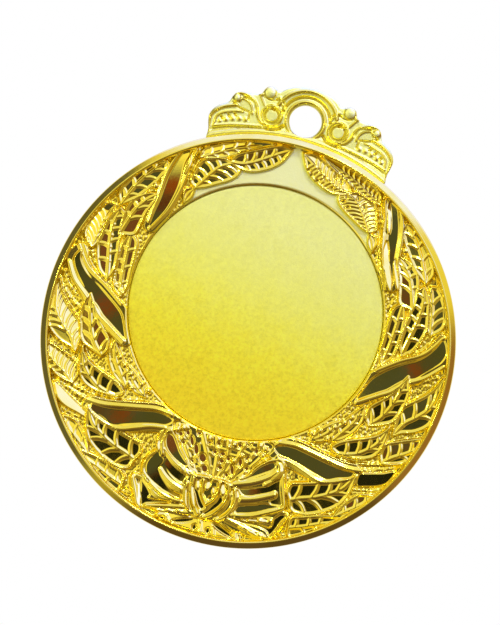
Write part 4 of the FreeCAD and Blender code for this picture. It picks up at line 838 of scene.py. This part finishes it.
def build_casting(material):
    r = Rings()
    # recess floor (under the centre disc), its wall and the bevel at its mouth
    q = NU
    x, z = circle_points(q, R_REC - 0.6, RZ)
    r.ring(x, z, -0.35)
    r.cap(0.0, RZ, -0.35, start=True)
    x, z = circle_points(q, R_REC - 0.02, RZ)
    r.ring(x, z, -0.35)
    r.ring(x, z, 0.15)
    x, z = circle_points(q, R_REC + 0.02, RZ)
    r.ring(x, z, 0.30, 0, 0)
    lip = H[0]
    for j in range(NV):
        hh = H[j].copy()
        if j == 0:
            hh = np.minimum(hh, 0.5)
        r.ring(GX[j], GZ[j], hh, FR[j], MI[j])
    # rim: foot, rounded crown, bevel towards the outer edge, outer wall
    prof = catmull([(R_RIM, 0.98), (R_RIM + 0.04, 1.35), (R_RIM + 0.08, 1.68), (R_RIM + 0.13, 1.92), (R_RIM + 0.19, 2.07), (R_RIM + 0.26, 2.16), (R_RIM + 0.34, 2.2),
                    (R_RIM + 0.42, 2.175), (R_RIM + 0.50, 2.115), (R_RIM + 0.62, 2.01), (R_RIM + 0.75, 1.895), (R_RIM + 0.88, 1.78), (R_RIM + 1.01, 1.665),
                    (R_RIM + 1.13, 1.55), (R_RIM + 1.21, 1.39), (R_OUT - 0.015, 1.18), (R_OUT, 1.0)], step=0.055)
    for rk, hk in prof[1:-1]:
        x, z = circle_points(q, rk)
        r.ring(x, z, np.maximum(hk, H[-1]) if hk < 1.6 and rk < R_RIM + 0.25 else hk)
    half = q // 2
    for rad_k, h_k in ((R_OUT, 1.0), (R_OUT, 0.9), (R_OUT, 0.3), (R_OUT, -0.4), (R_OUT, -0.95)):
        x, z = circle_points(half, rad_k)
        r.ring(x, z, h_k)
    for k in range(1, 5):
        a = math.pi / 2 * k / 4
        x, z = circle_points(half, R_OUT - 0.2 + 0.2 * math.cos(a))
        r.ring(x, z, -1.0 - 0.2 * math.sin(a))
    for rad_k, h_k in ((R_OUT - 0.6, -1.2), (28.4, -1.2), (27.1, -1.2), (26.95, -1.19), (26.82, -1.15), (26.72, -1.06), (26.6, -1.01), (26.45, -1.0), (26.0, -1.0)):
        x, z = circle_points(half, rad_k)
        r.ring(x, z, h_k)
    for rad_k in np.linspace(25.0, 14.0, 12):
        x, z = circle_points(half // 2 if rad_k < 24.9 else half, rad_k)
        if len(x) == half // 2 and r.last[1] == half:
            r.ring(x, z, -1.0)
            continue
        r.ring(x, z, -1.0)
    x, z = circle_points(half // 2, 8.0)
    r.ring(x, z, -1.0)
    x, z = circle_points(half // 2, 2.0)
    r.ring(x, z, -1.0)
    r.cap(0, 0, -1.0)
    return r.build("casting_relief", material)


def build_disc(material):
    r = Rings()
    q = 512
    lo, hi = disc_lo, disc_hi
    front, back, rad0 = -lo.y * 1000, -hi.y * 1000, (hi.x - lo.x) * 500 + 0.1
    x, z = circle_points(q // 2, 0.4, RZ)
    first = True
    rings = []
    for rk in np.linspace(0.5, rad0 - 0.45, 60):
        rings.append((rk, front))
    for k in range(0, 7):
        a = math.pi / 2 * k / 6
        rings.append((rad0 - 0.15 + 0.15 * math.sin(a), front - 0.15 + 0.15 * math.cos(a)))
    rings += [(rad0, back + 0.05), (rad0 - 0.05, back), (rad0 - 4, back), (2.0, back)]
    for k, (rk, hk) in enumerate(rings):
        x, z = circle_points(q, rk, RZ)
        r.ring(x, z, hk, 1.0, 0.0)
        if k == 0:
            r.cap(0.0, RZ, front, start=True)
    r.cap(0.0, RZ, back)
    return r.build("frosted_disc", material)


# ---------------------------------------------------------------- hanger
HALF = [(13.35, 27.2), (13.35, 28.2), (13.6, 29.2), (13.75, 30.2), (13.4, 31.2), (12.8, 31.9), (12.0, 32.4), (11.35, 32.9),
        (11.1, 33.6), (10.7, 34.25), (10.0, 34.6), (9.0, 34.7), (8.2, 34.75), (7.6, 34.85), (7.1, 35.15), (6.9, 35.7),
        (6.5, 36.25), (5.85, 36.45), (5.2, 36.2), (4.6, 36.0), (3.7, 36.7), (2.6, 37.2), (1.3, 37.5), (0.0, 37.6)]
EYE_R = 2.35


def build_hanger(material):
    top = catmull(HALF, step=0.14)
    top = np.vstack([top, (top[::-1] * [-1, 1])[1:]])
    a0 = math.atan2(HALF[0][1], HALF[0][0])
    rf = R_OUT - 0.12
    start = np.array([top[0, 0], math.sqrt(rf ** 2 - top[0, 0] ** 2)])
    af = math.asin(top[0, 0] / rf)
    foot = np.array([[rf * math.sin(a), rf * math.cos(a)] for a in np.linspace(-af, af, 190)])
    top = top[top[:, 1] > start[1] + 0.05]
    outline = np.vstack([foot, top])
    hn = 110
    hole = np.array([[EYE_R * math.cos(2 * math.pi * k / hn), RISE + EYE_R * math.sin(2 * math.pi * k / hn)] for k in range(hn)])
    s = 0.105
    gx, gz = np.meshgrid(np.arange(-14.2, 14.2, s), np.arange(26.0, 38.0, s * 0.866))
    gx = gx + (np.arange(gx.shape[0]) % 2)[:, None] * s / 2
    pts = np.stack([gx.ravel(), gz.ravel()], 1)
    probe = Relief(pts, 0)
    idx = np.arange(len(pts))
    dd, _ = probe.dist(idx, np.vstack([outline, outline[:1]]))
    inside = probe.inside(idx, outline)
    dh = np.hypot(pts[:, 0], pts[:, 1] - RISE) - EYE_R
    pts = pts[inside & (dd > 0.075) & (dh > 0.075)]
    allp = np.vstack([outline, hole, pts])
    no, nh = len(outline), len(hole)
    edges = [(k, (k + 1) % no) for k in range(no)] + [(no + k, no + (k + 1) % nh) for k in range(nh)]
    out = delaunay_2d_cdt([Vector((float(p[0]), float(p[1]))) for p in allp], edges, [], 0, 1e-5)
    vs = np.array([(w.x, w.y) for w in out[0]])
    tris = np.array([list(f) for f in out[2]], int)
    cen = vs[tris].mean(1)
    pr = Relief(cen, 0)
    ci = np.arange(len(cen))
    keep = pr.inside(ci, outline) & (np.hypot(cen[:, 0], cen[:, 1] - RISE) > EYE_R * math.cos(math.pi / hn) - 1e-4)
    tris = tris[keep]
    used = np.unique(tris)
    remap = -np.ones(len(vs), int)
    remap[used] = np.arange(len(used))
    vs, tris = vs[used], remap[tris]
    # all triangles the same way round
    a, b, c = vs[tris[:, 0]], vs[tris[:, 1]], vs[tris[:, 2]]
    area = (b[:, 0] - a[:, 0]) * (c[:, 1] - a[:, 1]) - (b[:, 1] - a[:, 1]) * (c[:, 0] - a[:, 0])
    tris[area < 0] = tris[area < 0][:, ::-1]

    G = Relief(vs, 0.72)
    i_all = np.arange(len(vs))
    d_out, _ = G.dist(i_all, np.vstack([top[:1], top]))
    d_hole = np.hypot(vs[:, 0], vs[:, 1] - RISE) - EYE_R
    rr = np.hypot(vs[:, 0], vs[:, 1])
    SOFT = 0.15
    LINES = [  # panel: border, inner border, flutes, two lines along the foot
             ([(13.3, 28.0), (13.5, 29.4), (13.45, 30.4), (12.95, 31.15), (11.9, 31.95), (10.8, 32.4), (10.2, 32.6)], 0.30, 0.34),
             ([(12.75, 29.2), (12.6, 30.3), (11.9, 31.0), (10.8, 31.45), (9.8, 31.75), (9.1, 31.85)], 0.22, 0.22),
             ([(12.8, 28.85), (11.4, 29.3), (9.8, 29.75), (7.8, 30.15), (6.0, 30.45)], 0.22, 0.24),
             ([(13.0, 27.9), (11.3, 28.75), (9.4, 29.25), (7.4, 29.6), (5.4, 29.95)], 0.18, 0.22),
             # S-scroll from the volute to the side ball, and the lines inside it
             ([(4.9, 30.85), (6.15, 31.05), (6.95, 31.95), (7.35, 33.1), (8.2, 34.0), (9.4, 34.45), (10.6, 34.3), (11.15, 33.6)], 0.34, 0.32),
             ([(7.75, 31.9), (8.1, 32.9), (8.85, 33.55), (9.65, 33.65), (10.0, 33.15)], 0.24, 0.22),
             ([(6.35, 33.55), (6.8, 34.2), (7.25, 34.8)], 0.22, 0.24),
             ([(3.45, 33.7), (3.9, 34.5), (4.4, 35.15)], 0.26, 0.26)]
    for side in (1, -1):
        for pts, rise, half in LINES:
            G.line(flip(pts, side), rise, half, soft=SOFT)
        ring = [(4.95 + 1.42 * math.cos(a), 32.35 + 1.42 * math.sin(a)) for a in np.linspace(math.radians(50), math.radians(400), 30)]
        G.line(flip(ring, side), 0.40, 0.30, (1.0, 0.8), soft=SOFT)
    arc = [(4.55 * math.sin(a), RISE + 4.35 * math.cos(a)) for a in np.linspace(math.radians(-72), math.radians(72), 34)]
    G.line(arc, 0.34, 0.36, soft=0.4)
    ring = [(2.78 * math.cos(a), RISE + 2.78 * math.sin(a)) for a in np.linspace(0, 2 * math.pi, 72, endpoint=False)]
    G.line(ring, 0.26, 0.36, closed=True, soft=0.4)
    # foot band that runs along the rim
    arc = [((R_OUT + 0.30) * math.sin(a), (R_OUT + 0.30) * math.cos(a)) for a in np.linspace(math.radians(-26.5), math.radians(26.5), 60)]
    G.line(arc, 0.45, 0.62, soft=0.5)
    G.flush()
    for side in (1, -1):
        for x, z, r0 in [(8.5, 30.85, 0.42), (9.4, 30.75, 0.42), (10.35, 30.5, 0.42), (11.25, 30.15, 0.42), (12.05, 29.75, 0.36)]:
            G.dome(side * x, z, r0, 0.16, power=0.9)
        G.groove(flip([(4.3, 30.95), (6.2, 30.25), (8.2, 29.9), (9.8, 29.5), (11.5, 29.0), (12.9, 28.4)], side), 0.22, 0.16)
        G.groove(flip([(3.0, 31.3), (3.6, 30.8), (4.3, 30.5), (5.2, 30.35)], side), 0.40, 0.36)
        G.groove(flip([(4.6, 34.85), (5.3, 34.6), (6.1, 34.65), (6.8, 35.0)], side), 0.38, 0.24)
        G.groove(flip([(7.3, 32.5), (7.75, 33.4), (8.6, 33.95), (9.5, 34.05)], side), 0.26, 0.18)
        G.groove(flip([(8.3, 32.05), (9.2, 32.2), (10.0, 32.35)], side), 0.28, 0.2)
        G.groove(flip([(8.05, 30.9), (8.2, 31.9)], side), 0.26, 0.2)
        ring = [(4.95 + 0.98 * math.cos(a), 32.35 + 0.98 * math.sin(a)) for a in np.linspace(math.radians(60), math.radians(400), 24)]
        G.groove(flip(ring, side), 0.30, 0.20)
        for x, z in [(10.1, 31.2), (10.95, 30.8), (11.85, 30.3), (4.93, 33.3), (3.75, 34.6), (10.75, 32.95)]:
            G.groove(flip([(x - 0.1, z - 0.1), (x + 0.1, z + 0.1)], side), 0.34, 0.24)
        G.dome(side * 5.95, 35.5, 0.95, 0.50, base=0.72)
        G.dome(side * 7.15, 35.05, 0.40, 0.26, base=0.80)
        G.dome(side * 10.4, 33.6, 0.62, 0.44, base=0.72)
    arc = [(3.55 * math.sin(a), RISE + 3.50 * math.cos(a)) for a in np.linspace(math.radians(-86), math.radians(80), 34)]
    G.groove(arc, 0.42, 0.30)
    G.h = np.clip(G.h, 0.1, 1.6)
    # satin ground between the polished lines, satin balls and volute eyes
    G.frost = 1.0 - smooth(0.03, 0.12, np.abs(G.h - 0.72))
    for side in (1, -1):
        for x, z, r0 in [(5.95, 35.5, 0.8), (4.95, 32.35, 0.7), (10.4, 33.6, 0.45)]:
            G.frost = np.maximum(G.frost, 1.0 - smooth(r0 * 0.8, r0 * 1.1, np.hypot(G.p[:, 0] - side * x, G.p[:, 1] - z)))
    # satin where it meets the rim, which it joins without a groove
    hr = np.hypot(G.p[:, 0], G.p[:, 1])
    G.frost = np.maximum(G.frost, 0.8 * (1.0 - smooth(30.2, 30.55, hr)))
    # rounded outer edge and hole edge
    for dist, rad_e in ((d_out, 0.28), (d_hole, 0.2)):
        t = np.clip(1 - dist / rad_e, 0, 1) * smooth(30.15, 30.45, hr)
        G.h -= rad_e * 1.0 * (1 - np.sqrt(np.clip(1 - t * t, 0, 1)))
    n = len(vs)
    back = np.full(n, -hang_hi.y * 1000)
    # boundary loops
    e = {}
    for t in tris:
        for k in range(3):
            e[(t[k], t[(k + 1) % 3])] = True
    border = [(a, b) for (a, b) in e if (b, a) not in e]
    bverts = sorted({a for a, b in border} | {b for a, b in border})
    bindex = {vtx: k for k, vtx in enumerate(bverts)}
    nb = len(bverts)
    bv = np.array(bverts)
    # the back is drawn in a little for a small edge break
    cen = np.array([0.0, 31.0])
    P = np.concatenate([np.column_stack([vs, G.h]), np.column_stack([vs, back]), np.column_stack([vs[bv], np.full(nb, 0.1)])])
    P2 = np.column_stack([vs[bv], np.full(nb, back[0] + 0.12)])
    P = np.vstack([P, P2])
    faces = [tuple(int(q) for q in t) for t in tris] + [tuple(int(q) + n for q in t[::-1]) for t in tris]
    m0, m1 = 2 * n, 2 * n + nb
    for a, b in border:
        ia, ib = bindex[a], bindex[b]
        faces.append((b, a, m0 + ia, m0 + ib))
        faces.append((m0 + ib, m0 + ia, m1 + ia, m1 + ib))
        faces.append((m1 + ib, m1 + ia, n + a, n + b))
    faces = [tuple(int(q) for q in f) for f in faces]
    # to world: x right, z up, front is -y, so counter-clockwise seen from the front
    return make_object("hanger_scrollwork", to_world(P[:, 0], P[:, 1], P[:, 2]), faces, material,
                       {"frost": np.concatenate([G.frost, np.zeros(len(P) - n)]), "mirror": np.zeros(len(P))})


# ---------------------------------------------------------------- materials
def material(name):
    m = bpy.data.materials.new(name)
    m.use_nodes = True
    nt = m.node_tree
    nt.nodes.clear()
    out = nt.nodes.new("ShaderNodeOutputMaterial")
    b = nt.nodes.new("ShaderNodeBsdfPrincipled")
    nt.links.new(b.outputs[0], out.inputs["Surface"])
    return m, nt, b


def node(nt, kind, **kw):
    n = nt.nodes.new(kind)
    for k, val in kw.items():
        if k.startswith("i_"):
            key = k[2:]
            n.inputs[int(key) if key.isdigit() else key.replace("_", " ")].default_value = val
        else:
            setattr(n, k, val)
    return n


def link(nt, a, b):
    nt.links.new(a, b)


def noise(nt, coord, scale, detail=3.0, rough=0.5):
    n = node(nt, "ShaderNodeTexNoise")
    n.inputs["Scale"].default_value = scale
    n.inputs["Detail"].default_value = detail
    n.inputs["Roughness"].default_value = rough
    link(nt, coord, n.inputs["Vector"])
    return n


def ramp(nt, src, a, b, lo=0.0, hi=1.0):
    n = node(nt, "ShaderNodeMapRange")
    n.inputs["From Min"].default_value = a
    n.inputs["From Max"].default_value = b
    n.inputs["To Min"].default_value = lo
    n.inputs["To Max"].default_value = hi
    link(nt, src, n.inputs["Value"])
    return n.outputs["Result"]


def mix_colour(nt, fac, a, b):
    n = node(nt, "ShaderNodeMix", data_type="RGBA")
    if isinstance(fac, float):
        n.inputs["Factor"].default_value = fac
    else:
        link(nt, fac, n.inputs["Factor"])
    for key, val in (("A", a), ("B", b)):
        sock = [s for s in n.inputs if s.name == key and s.type == "RGBA"][0]
        if isinstance(val, tuple):
            sock.default_value = (*val, 1.0)
        else:
            link(nt, val, sock)
    return [s for s in n.outputs if s.type == "RGBA"][0]


def mix_value(nt, fac, a, b):
    n = node(nt, "ShaderNodeMix", data_type="FLOAT")
    link(nt, fac, n.inputs["Factor"])
    for key, val in (("A", a), ("B", b)):
        sock = [s for s in n.inputs if s.name == key and s.type == "VALUE"][0]
        if isinstance(val, float):
            sock.default_value = val
        else:
            link(nt, val, sock)
    return [s for s in n.outputs if s.type == "VALUE"][0]


GOLD = (0.97, 0.80, 0.090)
GOLD_DEEP = (0.95, 0.74, 0.053)


def gilt(name, rough=0.13, tone=None, skin=0.010, satin=(0.97, 0.995, 0.365)):
    m, nt, b = material(name)
    tc = node(nt, "ShaderNodeTexCoord")
    co = tc.outputs["Object"]
    fr = node(nt, "ShaderNodeAttribute", attribute_name="frost").outputs["Fac"]
    mi = node(nt, "ShaderNodeAttribute", attribute_name="mirror").outputs["Fac"]
    n1 = noise(nt, co, 260.0, 4.0, 0.55)      # clouding of the plating, about 4 mm
    n2 = noise(nt, co, 1900.0, 4.0, 0.6)      # fine casting skin, about 0.5 mm
    n3 = noise(nt, co, 9000.0, 2.0, 0.5)      # frosting grain
    light, deep = tone or (GOLD, GOLD_DEEP)
    base = mix_colour(nt, ramp(nt, n1.outputs["Fac"], 0.35, 0.65), light, deep)
    sep = node(nt, "ShaderNodeSeparateXYZ")
    link(nt, co, sep.inputs[0])
    # frosted finish: pale yellow, blending to the satin colour above z 20 to 25 mm, so on the casting it grows paler
    # towards the top. Its paleness is painted light from above, as on the disc.
    frosted = mix_colour(nt, ramp(nt, sep.outputs["Z"], (20.0 - RISE) / 1000, (25.0 - RISE) / 1000), (0.97, 0.97, 0.31), satin)
    col = mix_colour(nt, fr, base, frosted)
    link(nt, col, b.inputs["Base Color"])
    b.inputs["Metallic"].default_value = 1.0
    r0 = mix_value(nt, mi, ramp(nt, n2.outputs["Fac"], 0.3, 0.7, rough * 0.75, rough * 1.5), ramp(nt, n2.outputs["Fac"], 0.3, 0.7, 0.04, 0.09))
    r1 = mix_value(nt, fr, r0, ramp(nt, n2.outputs["Fac"], 0.3, 0.7, 0.45, 0.55))
    link(nt, r1, b.inputs["Roughness"])
    # height: slow waves on the mirror facets, casting skin elsewhere, sharp grain where frosted
    h1 = node(nt, "ShaderNodeMath", operation="MULTIPLY")
    link(nt, n2.outputs["Fac"], h1.inputs[0])
    link(nt, mix_value(nt, mi, skin, 0.0025), h1.inputs[1])
    h2 = node(nt, "ShaderNodeMath", operation="MULTIPLY")
    link(nt, n3.outputs["Fac"], h2.inputs[0])
    link(nt, mix_value(nt, fr, 0.0, 0.02), h2.inputs[1])
    hs = node(nt, "ShaderNodeMath", operation="ADD")
    link(nt, h1.outputs[0], hs.inputs[0])
    link(nt, h2.outputs[0], hs.inputs[1])
    bump = node(nt, "ShaderNodeBump")
    bump.inputs["Strength"].default_value = 1.0
    bump.inputs["Distance"].default_value = 0.001
    link(nt, hs.outputs[0], bump.inputs["Height"])
    link(nt, bump.outputs["Normal"], b.inputs["Normal"])
    return m


# painted light: the disc's gilt runs from deep yellow low down to pale, bluer yellow at the top, standing in for the
# light from above
FROST_PAINTED_LIGHT = [(-15.0, (0.989, 0.790, 0.0246)), (-11.0, (0.990, 0.832, 0.0292)), (-6.0, (0.989, 0.892, 0.0424)), (-1.0, (0.978, 0.940, 0.0820)),
         (4.0, (0.962, 0.962, 0.1410)), (9.0, (0.957, 0.970, 0.1930)), (14.0, (0.951, 0.976, 0.2400))]


def frosted_gilt(name):
    m, nt, b = material(name)
    tc = node(nt, "ShaderNodeTexCoord")
    co = tc.outputs["Object"]
    n1 = noise(nt, co, 420.0, 5.0, 0.65)      # clouding, 2 to 3 mm
    n2 = noise(nt, co, 2600.0, 4.0, 0.7)      # blast marks, 0.4 mm
    n3 = noise(nt, co, 7000.0, 3.0, 0.6)
    sep = node(nt, "ShaderNodeSeparateXYZ")
    link(nt, co, sep.inputs[0])
    # painted light from above: paler towards the top and a little towards the right
    zx = node(nt, "ShaderNodeMath", operation="MULTIPLY_ADD")
    link(nt, sep.outputs["X"], zx.inputs[0])
    zx.inputs[1].default_value = 0.18
    link(nt, sep.outputs["Z"], zx.inputs[2])
    cl = node(nt, "ShaderNodeMath", operation="MULTIPLY_ADD")
    link(nt, n1.outputs["Fac"], cl.inputs[0])
    cl.inputs[1].default_value = 0.006
    link(nt, zx.outputs[0], cl.inputs[2])
    z0 = (RZ - RISE) / 1000 + 0.003
    t = ramp(nt, cl.outputs[0], z0 - 0.015, z0 + 0.014)
    rm = nt.nodes.new("ShaderNodeValToRGB")
    link(nt, t, rm.inputs["Fac"])
    el = rm.color_ramp.elements
    while len(el) < len(FROST_PAINTED_LIGHT):
        el.new(0.5)
    for e, (at, colour) in zip(el, FROST_PAINTED_LIGHT):
        e.position = (at + 15.0) / 29.0
        e.color = (*colour, 1.0)
    # the marks are stronger low down and weaker towards the top, along the same ramp
    depth = ramp(nt, t, 0.15, 0.75, 0.26, 0.08)
    mark = node(nt, "ShaderNodeMath", operation="MULTIPLY_ADD")
    link(nt, ramp(nt, n2.outputs["Fac"], 0.30, 0.70, -0.5, 0.5), mark.inputs[0])
    link(nt, depth, mark.inputs[1])
    mark.inputs[2].default_value = 1.0
    tone = node(nt, "ShaderNodeVectorMath", operation="SCALE")
    link(nt, rm.outputs["Color"], tone.inputs[0])
    link(nt, mark.outputs[0], tone.inputs["Scale"])
    link(nt, tone.outputs["Vector"], b.inputs["Base Color"])
    b.inputs["Metallic"].default_value = 1.0
    link(nt, ramp(nt, n2.outputs["Fac"], 0.3, 0.7, 0.46, 0.60), b.inputs["Roughness"])
    bump = node(nt, "ShaderNodeBump")
    bump.inputs["Strength"].default_value = 0.9
    bump.inputs["Distance"].default_value = 0.00002
    link(nt, n3.outputs["Fac"], bump.inputs["Height"])
    link(nt, bump.outputs["Normal"], b.inputs["Normal"])
    return m


def adhesive(name):
    m, nt, b = material(name)
    tc = node(nt, "ShaderNodeTexCoord")
    n1 = noise(nt, tc.outputs["Object"], 700.0, 4.0, 0.6)
    col = mix_colour(nt, n1.outputs["Fac"], (0.70, 0.69, 0.62), (0.84, 0.83, 0.76))
    link(nt, col, b.inputs["Base Color"])
    link(nt, ramp(nt, n1.outputs["Fac"], 0.3, 0.7, 0.35, 0.6), b.inputs["Roughness"])
    bump = node(nt, "ShaderNodeBump")
    bump.inputs["Strength"].default_value = 0.5
    bump.inputs["Distance"].default_value = 0.00005
    link(nt, n1.outputs["Fac"], bump.inputs["Height"])
    link(nt, bump.outputs["Normal"], b.inputs["Normal"])
    return m


m_cast = gilt("gilt_casting", 0.12, None, 0.005)
# the hanger is the same plating as the casting; its separate, more lemon tone and satin colour are painted light,
# standing in for how the light falls on it
m_hang_painted_light = gilt("gilt_hanger", 0.22, ((0.93, 0.81, 0.090), (0.91, 0.76, 0.062)), 0.010, (0.91, 0.92, 0.22))
m_disc = frosted_gilt("frosted_gilt")
m_film = adhesive("clear_adhesive")
casting = build_casting(m_cast)
hanger = build_hanger(m_hang_painted_light)
disc = build_disc(m_disc)
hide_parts("medal_body")
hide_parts("scroll_hanger")
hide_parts("centre_disc")
film = frame["nodes"]["adhesive_film"]
film.data.materials.clear()
film.data.materials.append(m_film)
for p in film.data.polygons:
    p.material_index = 0
print("casting", len(casting.data.polygons), "hanger", len(hanger.data.polygons), "disc", len(disc.data.polygons))

# ---------------------------------------------------------------- camera
TH = math.radians(14.6676)                        # the medal leans to the right in the picture
aim = Vector((-0.78 / 1000, 0.0, (4.04 - RISE) / 1000))
up = Vector((-math.sin(TH), 0, math.cos(TH)))
right = Vector((math.cos(TH), 0, math.sin(TH)))
LENS = 150.0
frame_h = 90.45 / 1000
dist = LENS * frame_h / (36.0 * 1.0)
cam_data = bpy.data.cameras.new("camera")
cam_data.lens = LENS
cam_data.sensor_fit = "VERTICAL"
cam_data.sensor_height = 36.0
cam_data.clip_start = 0.01
cam_data.clip_end = 20.0
cam = bpy.data.objects.new("camera", cam_data)
back = Vector((0, -1, 0))
cam.matrix_world = Matrix(((right.x, up.x, back.x, aim.x), (right.y, up.y, back.y, aim.y - dist), (right.z, up.z, back.z, aim.z), (0, 0, 0, 1)))
bpy.context.scene.collection.objects.link(cam)
bpy.context.scene.camera = cam

# ---------------------------------------------------------------- studio: world, lights, floor
BACK = Vector((0, -1, 0))


def direction(theta, phi):
    """theta degrees away from straight in front of the face, phi degrees round from the right, upwards."""
    t, p = math.radians(theta), math.radians(phi)
    return BACK * math.cos(t) + (right * math.cos(p) + up * math.sin(p)) * math.sin(t)


world = bpy.data.worlds.new("studio")
bpy.context.scene.world = world
world.use_nodes = True
nt = world.node_tree
nt.nodes.clear()
tc = nt.nodes.new("ShaderNodeTexCoord")
vec = tc.outputs["Generated"]


def blob(theta, phi, inner_deg, outer_deg):
    d = direction(theta, phi)
    dot = nt.nodes.new("ShaderNodeVectorMath")
    dot.operation = "DOT_PRODUCT"
    nt.links.new(vec, dot.inputs[0])
    dot.inputs[1].default_value = d
    mr = nt.nodes.new("ShaderNodeMapRange")
    mr.interpolation_type = "SMOOTHSTEP"
    mr.inputs["From Min"].default_value = math.cos(math.radians(outer_deg))
    mr.inputs["From Max"].default_value = math.cos(math.radians(inner_deg))
    nt.links.new(dot.outputs["Value"], mr.inputs["Value"])
    return mr.outputs["Result"]


def over(base, fac, colour):
    m = nt.nodes.new("ShaderNodeMix")
    m.data_type = "RGBA"
    nt.links.new(fac, m.inputs["Factor"])
    a = [s for s in m.inputs if s.name == "A" and s.type == "RGBA"][0]
    b = [s for s in m.inputs if s.name == "B" and s.type == "RGBA"][0]
    if isinstance(base, tuple):
        a.default_value = (*base, 1)
    else:
        nt.links.new(base, a)
    b.default_value = (*colour, 1)
    return [s for s in m.outputs if s.type == "RGBA"][0]


env = (0.86, 0.80, 0.60)
env = over(env, blob(0, 0, 32, 54), (1.10, 1.05, 0.86))           # pale wall round the camera
env = over(env, blob(45, 300, 25, 50), (0.42, 0.32, 0.22))        # low front right: dim and warm
env = over(env, blob(35, 262, 8, 22), (0.26, 0.18, 0.12))         # table edge below the camera
env = over(env, blob(95, 275, 35, 62), (0.11, 0.075, 0.12))        # below: dark
env = over(env, blob(97, 190, 24, 40), (0.13, 0.125, 0.24))       # far left: dark
env = over(env, blob(97, 150, 24, 36), (0.13, 0.125, 0.22))
env = over(env, blob(95, 338, 20, 34), (0.31, 0.17, 0.19))        # far right: dim
env = over(env, blob(60, 85, 25, 40), (0.88, 0.90, 1.4))          # ceiling
env = over(env, blob(108, 72, 38, 48), (0.96, 1.12, 6.5))         # bright wall above and behind
env = over(env, blob(45, 30, 12, 22), (1.02, 1.20, 7.5))          # soft light above right
env = over(env, blob(50, 6, 6, 12), (1.06, 1.27, 9.5))            # window to the right
env = over(env, blob(0, 0, 8.5, 16), (0.075, 0.084, 0.17))        # dark room behind the camera
env = over(env, blob(11, 290, 2.5, 6), (0.016, 0.018, 0.03))      # its darkest corner
env = over(env, blob(9.5, 172, 2.5, 5.5), (0.17, 0.07, 0.13))     # brown things in it
env = over(env, blob(9.0, 262, 0.8, 2.6), (0.15, 0.05, 0.05))
env = over(env, blob(5.2, 343, 0.8, 2.6), (0.10, 0.058, 0.08))
env = over(env, blob(1.5, 330, 0.5, 1.6), (0.19, 0.06, 0.07))
env = over(env, blob(5.5, 115, 0.8, 2.6), (0.11, 0.035, 0.05))
env = over(env, blob(9.3, 107, 0.8, 2.6), (0.25, 0.065, 0.04))
bg = nt.nodes.new("ShaderNodeBackground")
nt.links.new(env, bg.inputs["Color"])
bg.inputs["Strength"].default_value = 1.0
bgc = nt.nodes.new("ShaderNodeBackground")
bgc.inputs["Color"].default_value = (1, 1, 1, 1)
bgc.inputs["Strength"].default_value = 1.0
lp = nt.nodes.new("ShaderNodeLightPath")
mx = nt.nodes.new("ShaderNodeMixShader")
wo = nt.nodes.new("ShaderNodeOutputWorld")
nt.links.new(lp.outputs["Is Camera Ray"], mx.inputs[0])
nt.links.new(bg.outputs[0], mx.inputs[1])
nt.links.new(bgc.outputs[0], mx.inputs[2])
nt.links.new(mx.outputs[0], wo.inputs["Surface"])


def area(name, theta, phi, d, size, power, colour=(1, 1, 1), target=None):
    li = bpy.data.lights.new(name, "AREA")
    li.shape = "DISK"
    li.size = size
    li.energy = power
    li.color = colour
    ob = bpy.data.objects.new(name, li)
    tgt = target or Vector((0, 0, -RISE / 1000))
    pos = tgt + direction(theta, phi) * d
    ob.location = pos
    ob.rotation_euler = (tgt - pos).to_track_quat("-Z", "Y").to_euler()
    bpy.context.scene.collection.objects.link(ob)
    return ob


area("key", 48, 60, 0.9, 0.14, 2.8)
area("side", 52, 160, 0.9, 0.08, 0.7)

fm = bpy.data.meshes.new("floor")
s, zf = 0.6, -0.22
fm.from_pydata([(-s, -s, zf), (s, -s, zf), (s, s, zf), (-s, s, zf)], [], [(0, 1, 2, 3)])
floor = bpy.data.objects.new("floor", fm)
bpy.context.scene.collection.objects.link(floor)
m_floor, fnt, fb = material("pale_floor")
fb.inputs["Base Color"].default_value = (0.95, 0.89, 0.215, 1)
fb.inputs["Roughness"].default_value = 0.8
fm.materials.append(m_floor)
floor.visible_glossy = False

bpy.context.scene.view_settings.view_transform = "Standard"
bpy.context.scene.view_settings.look = "None"
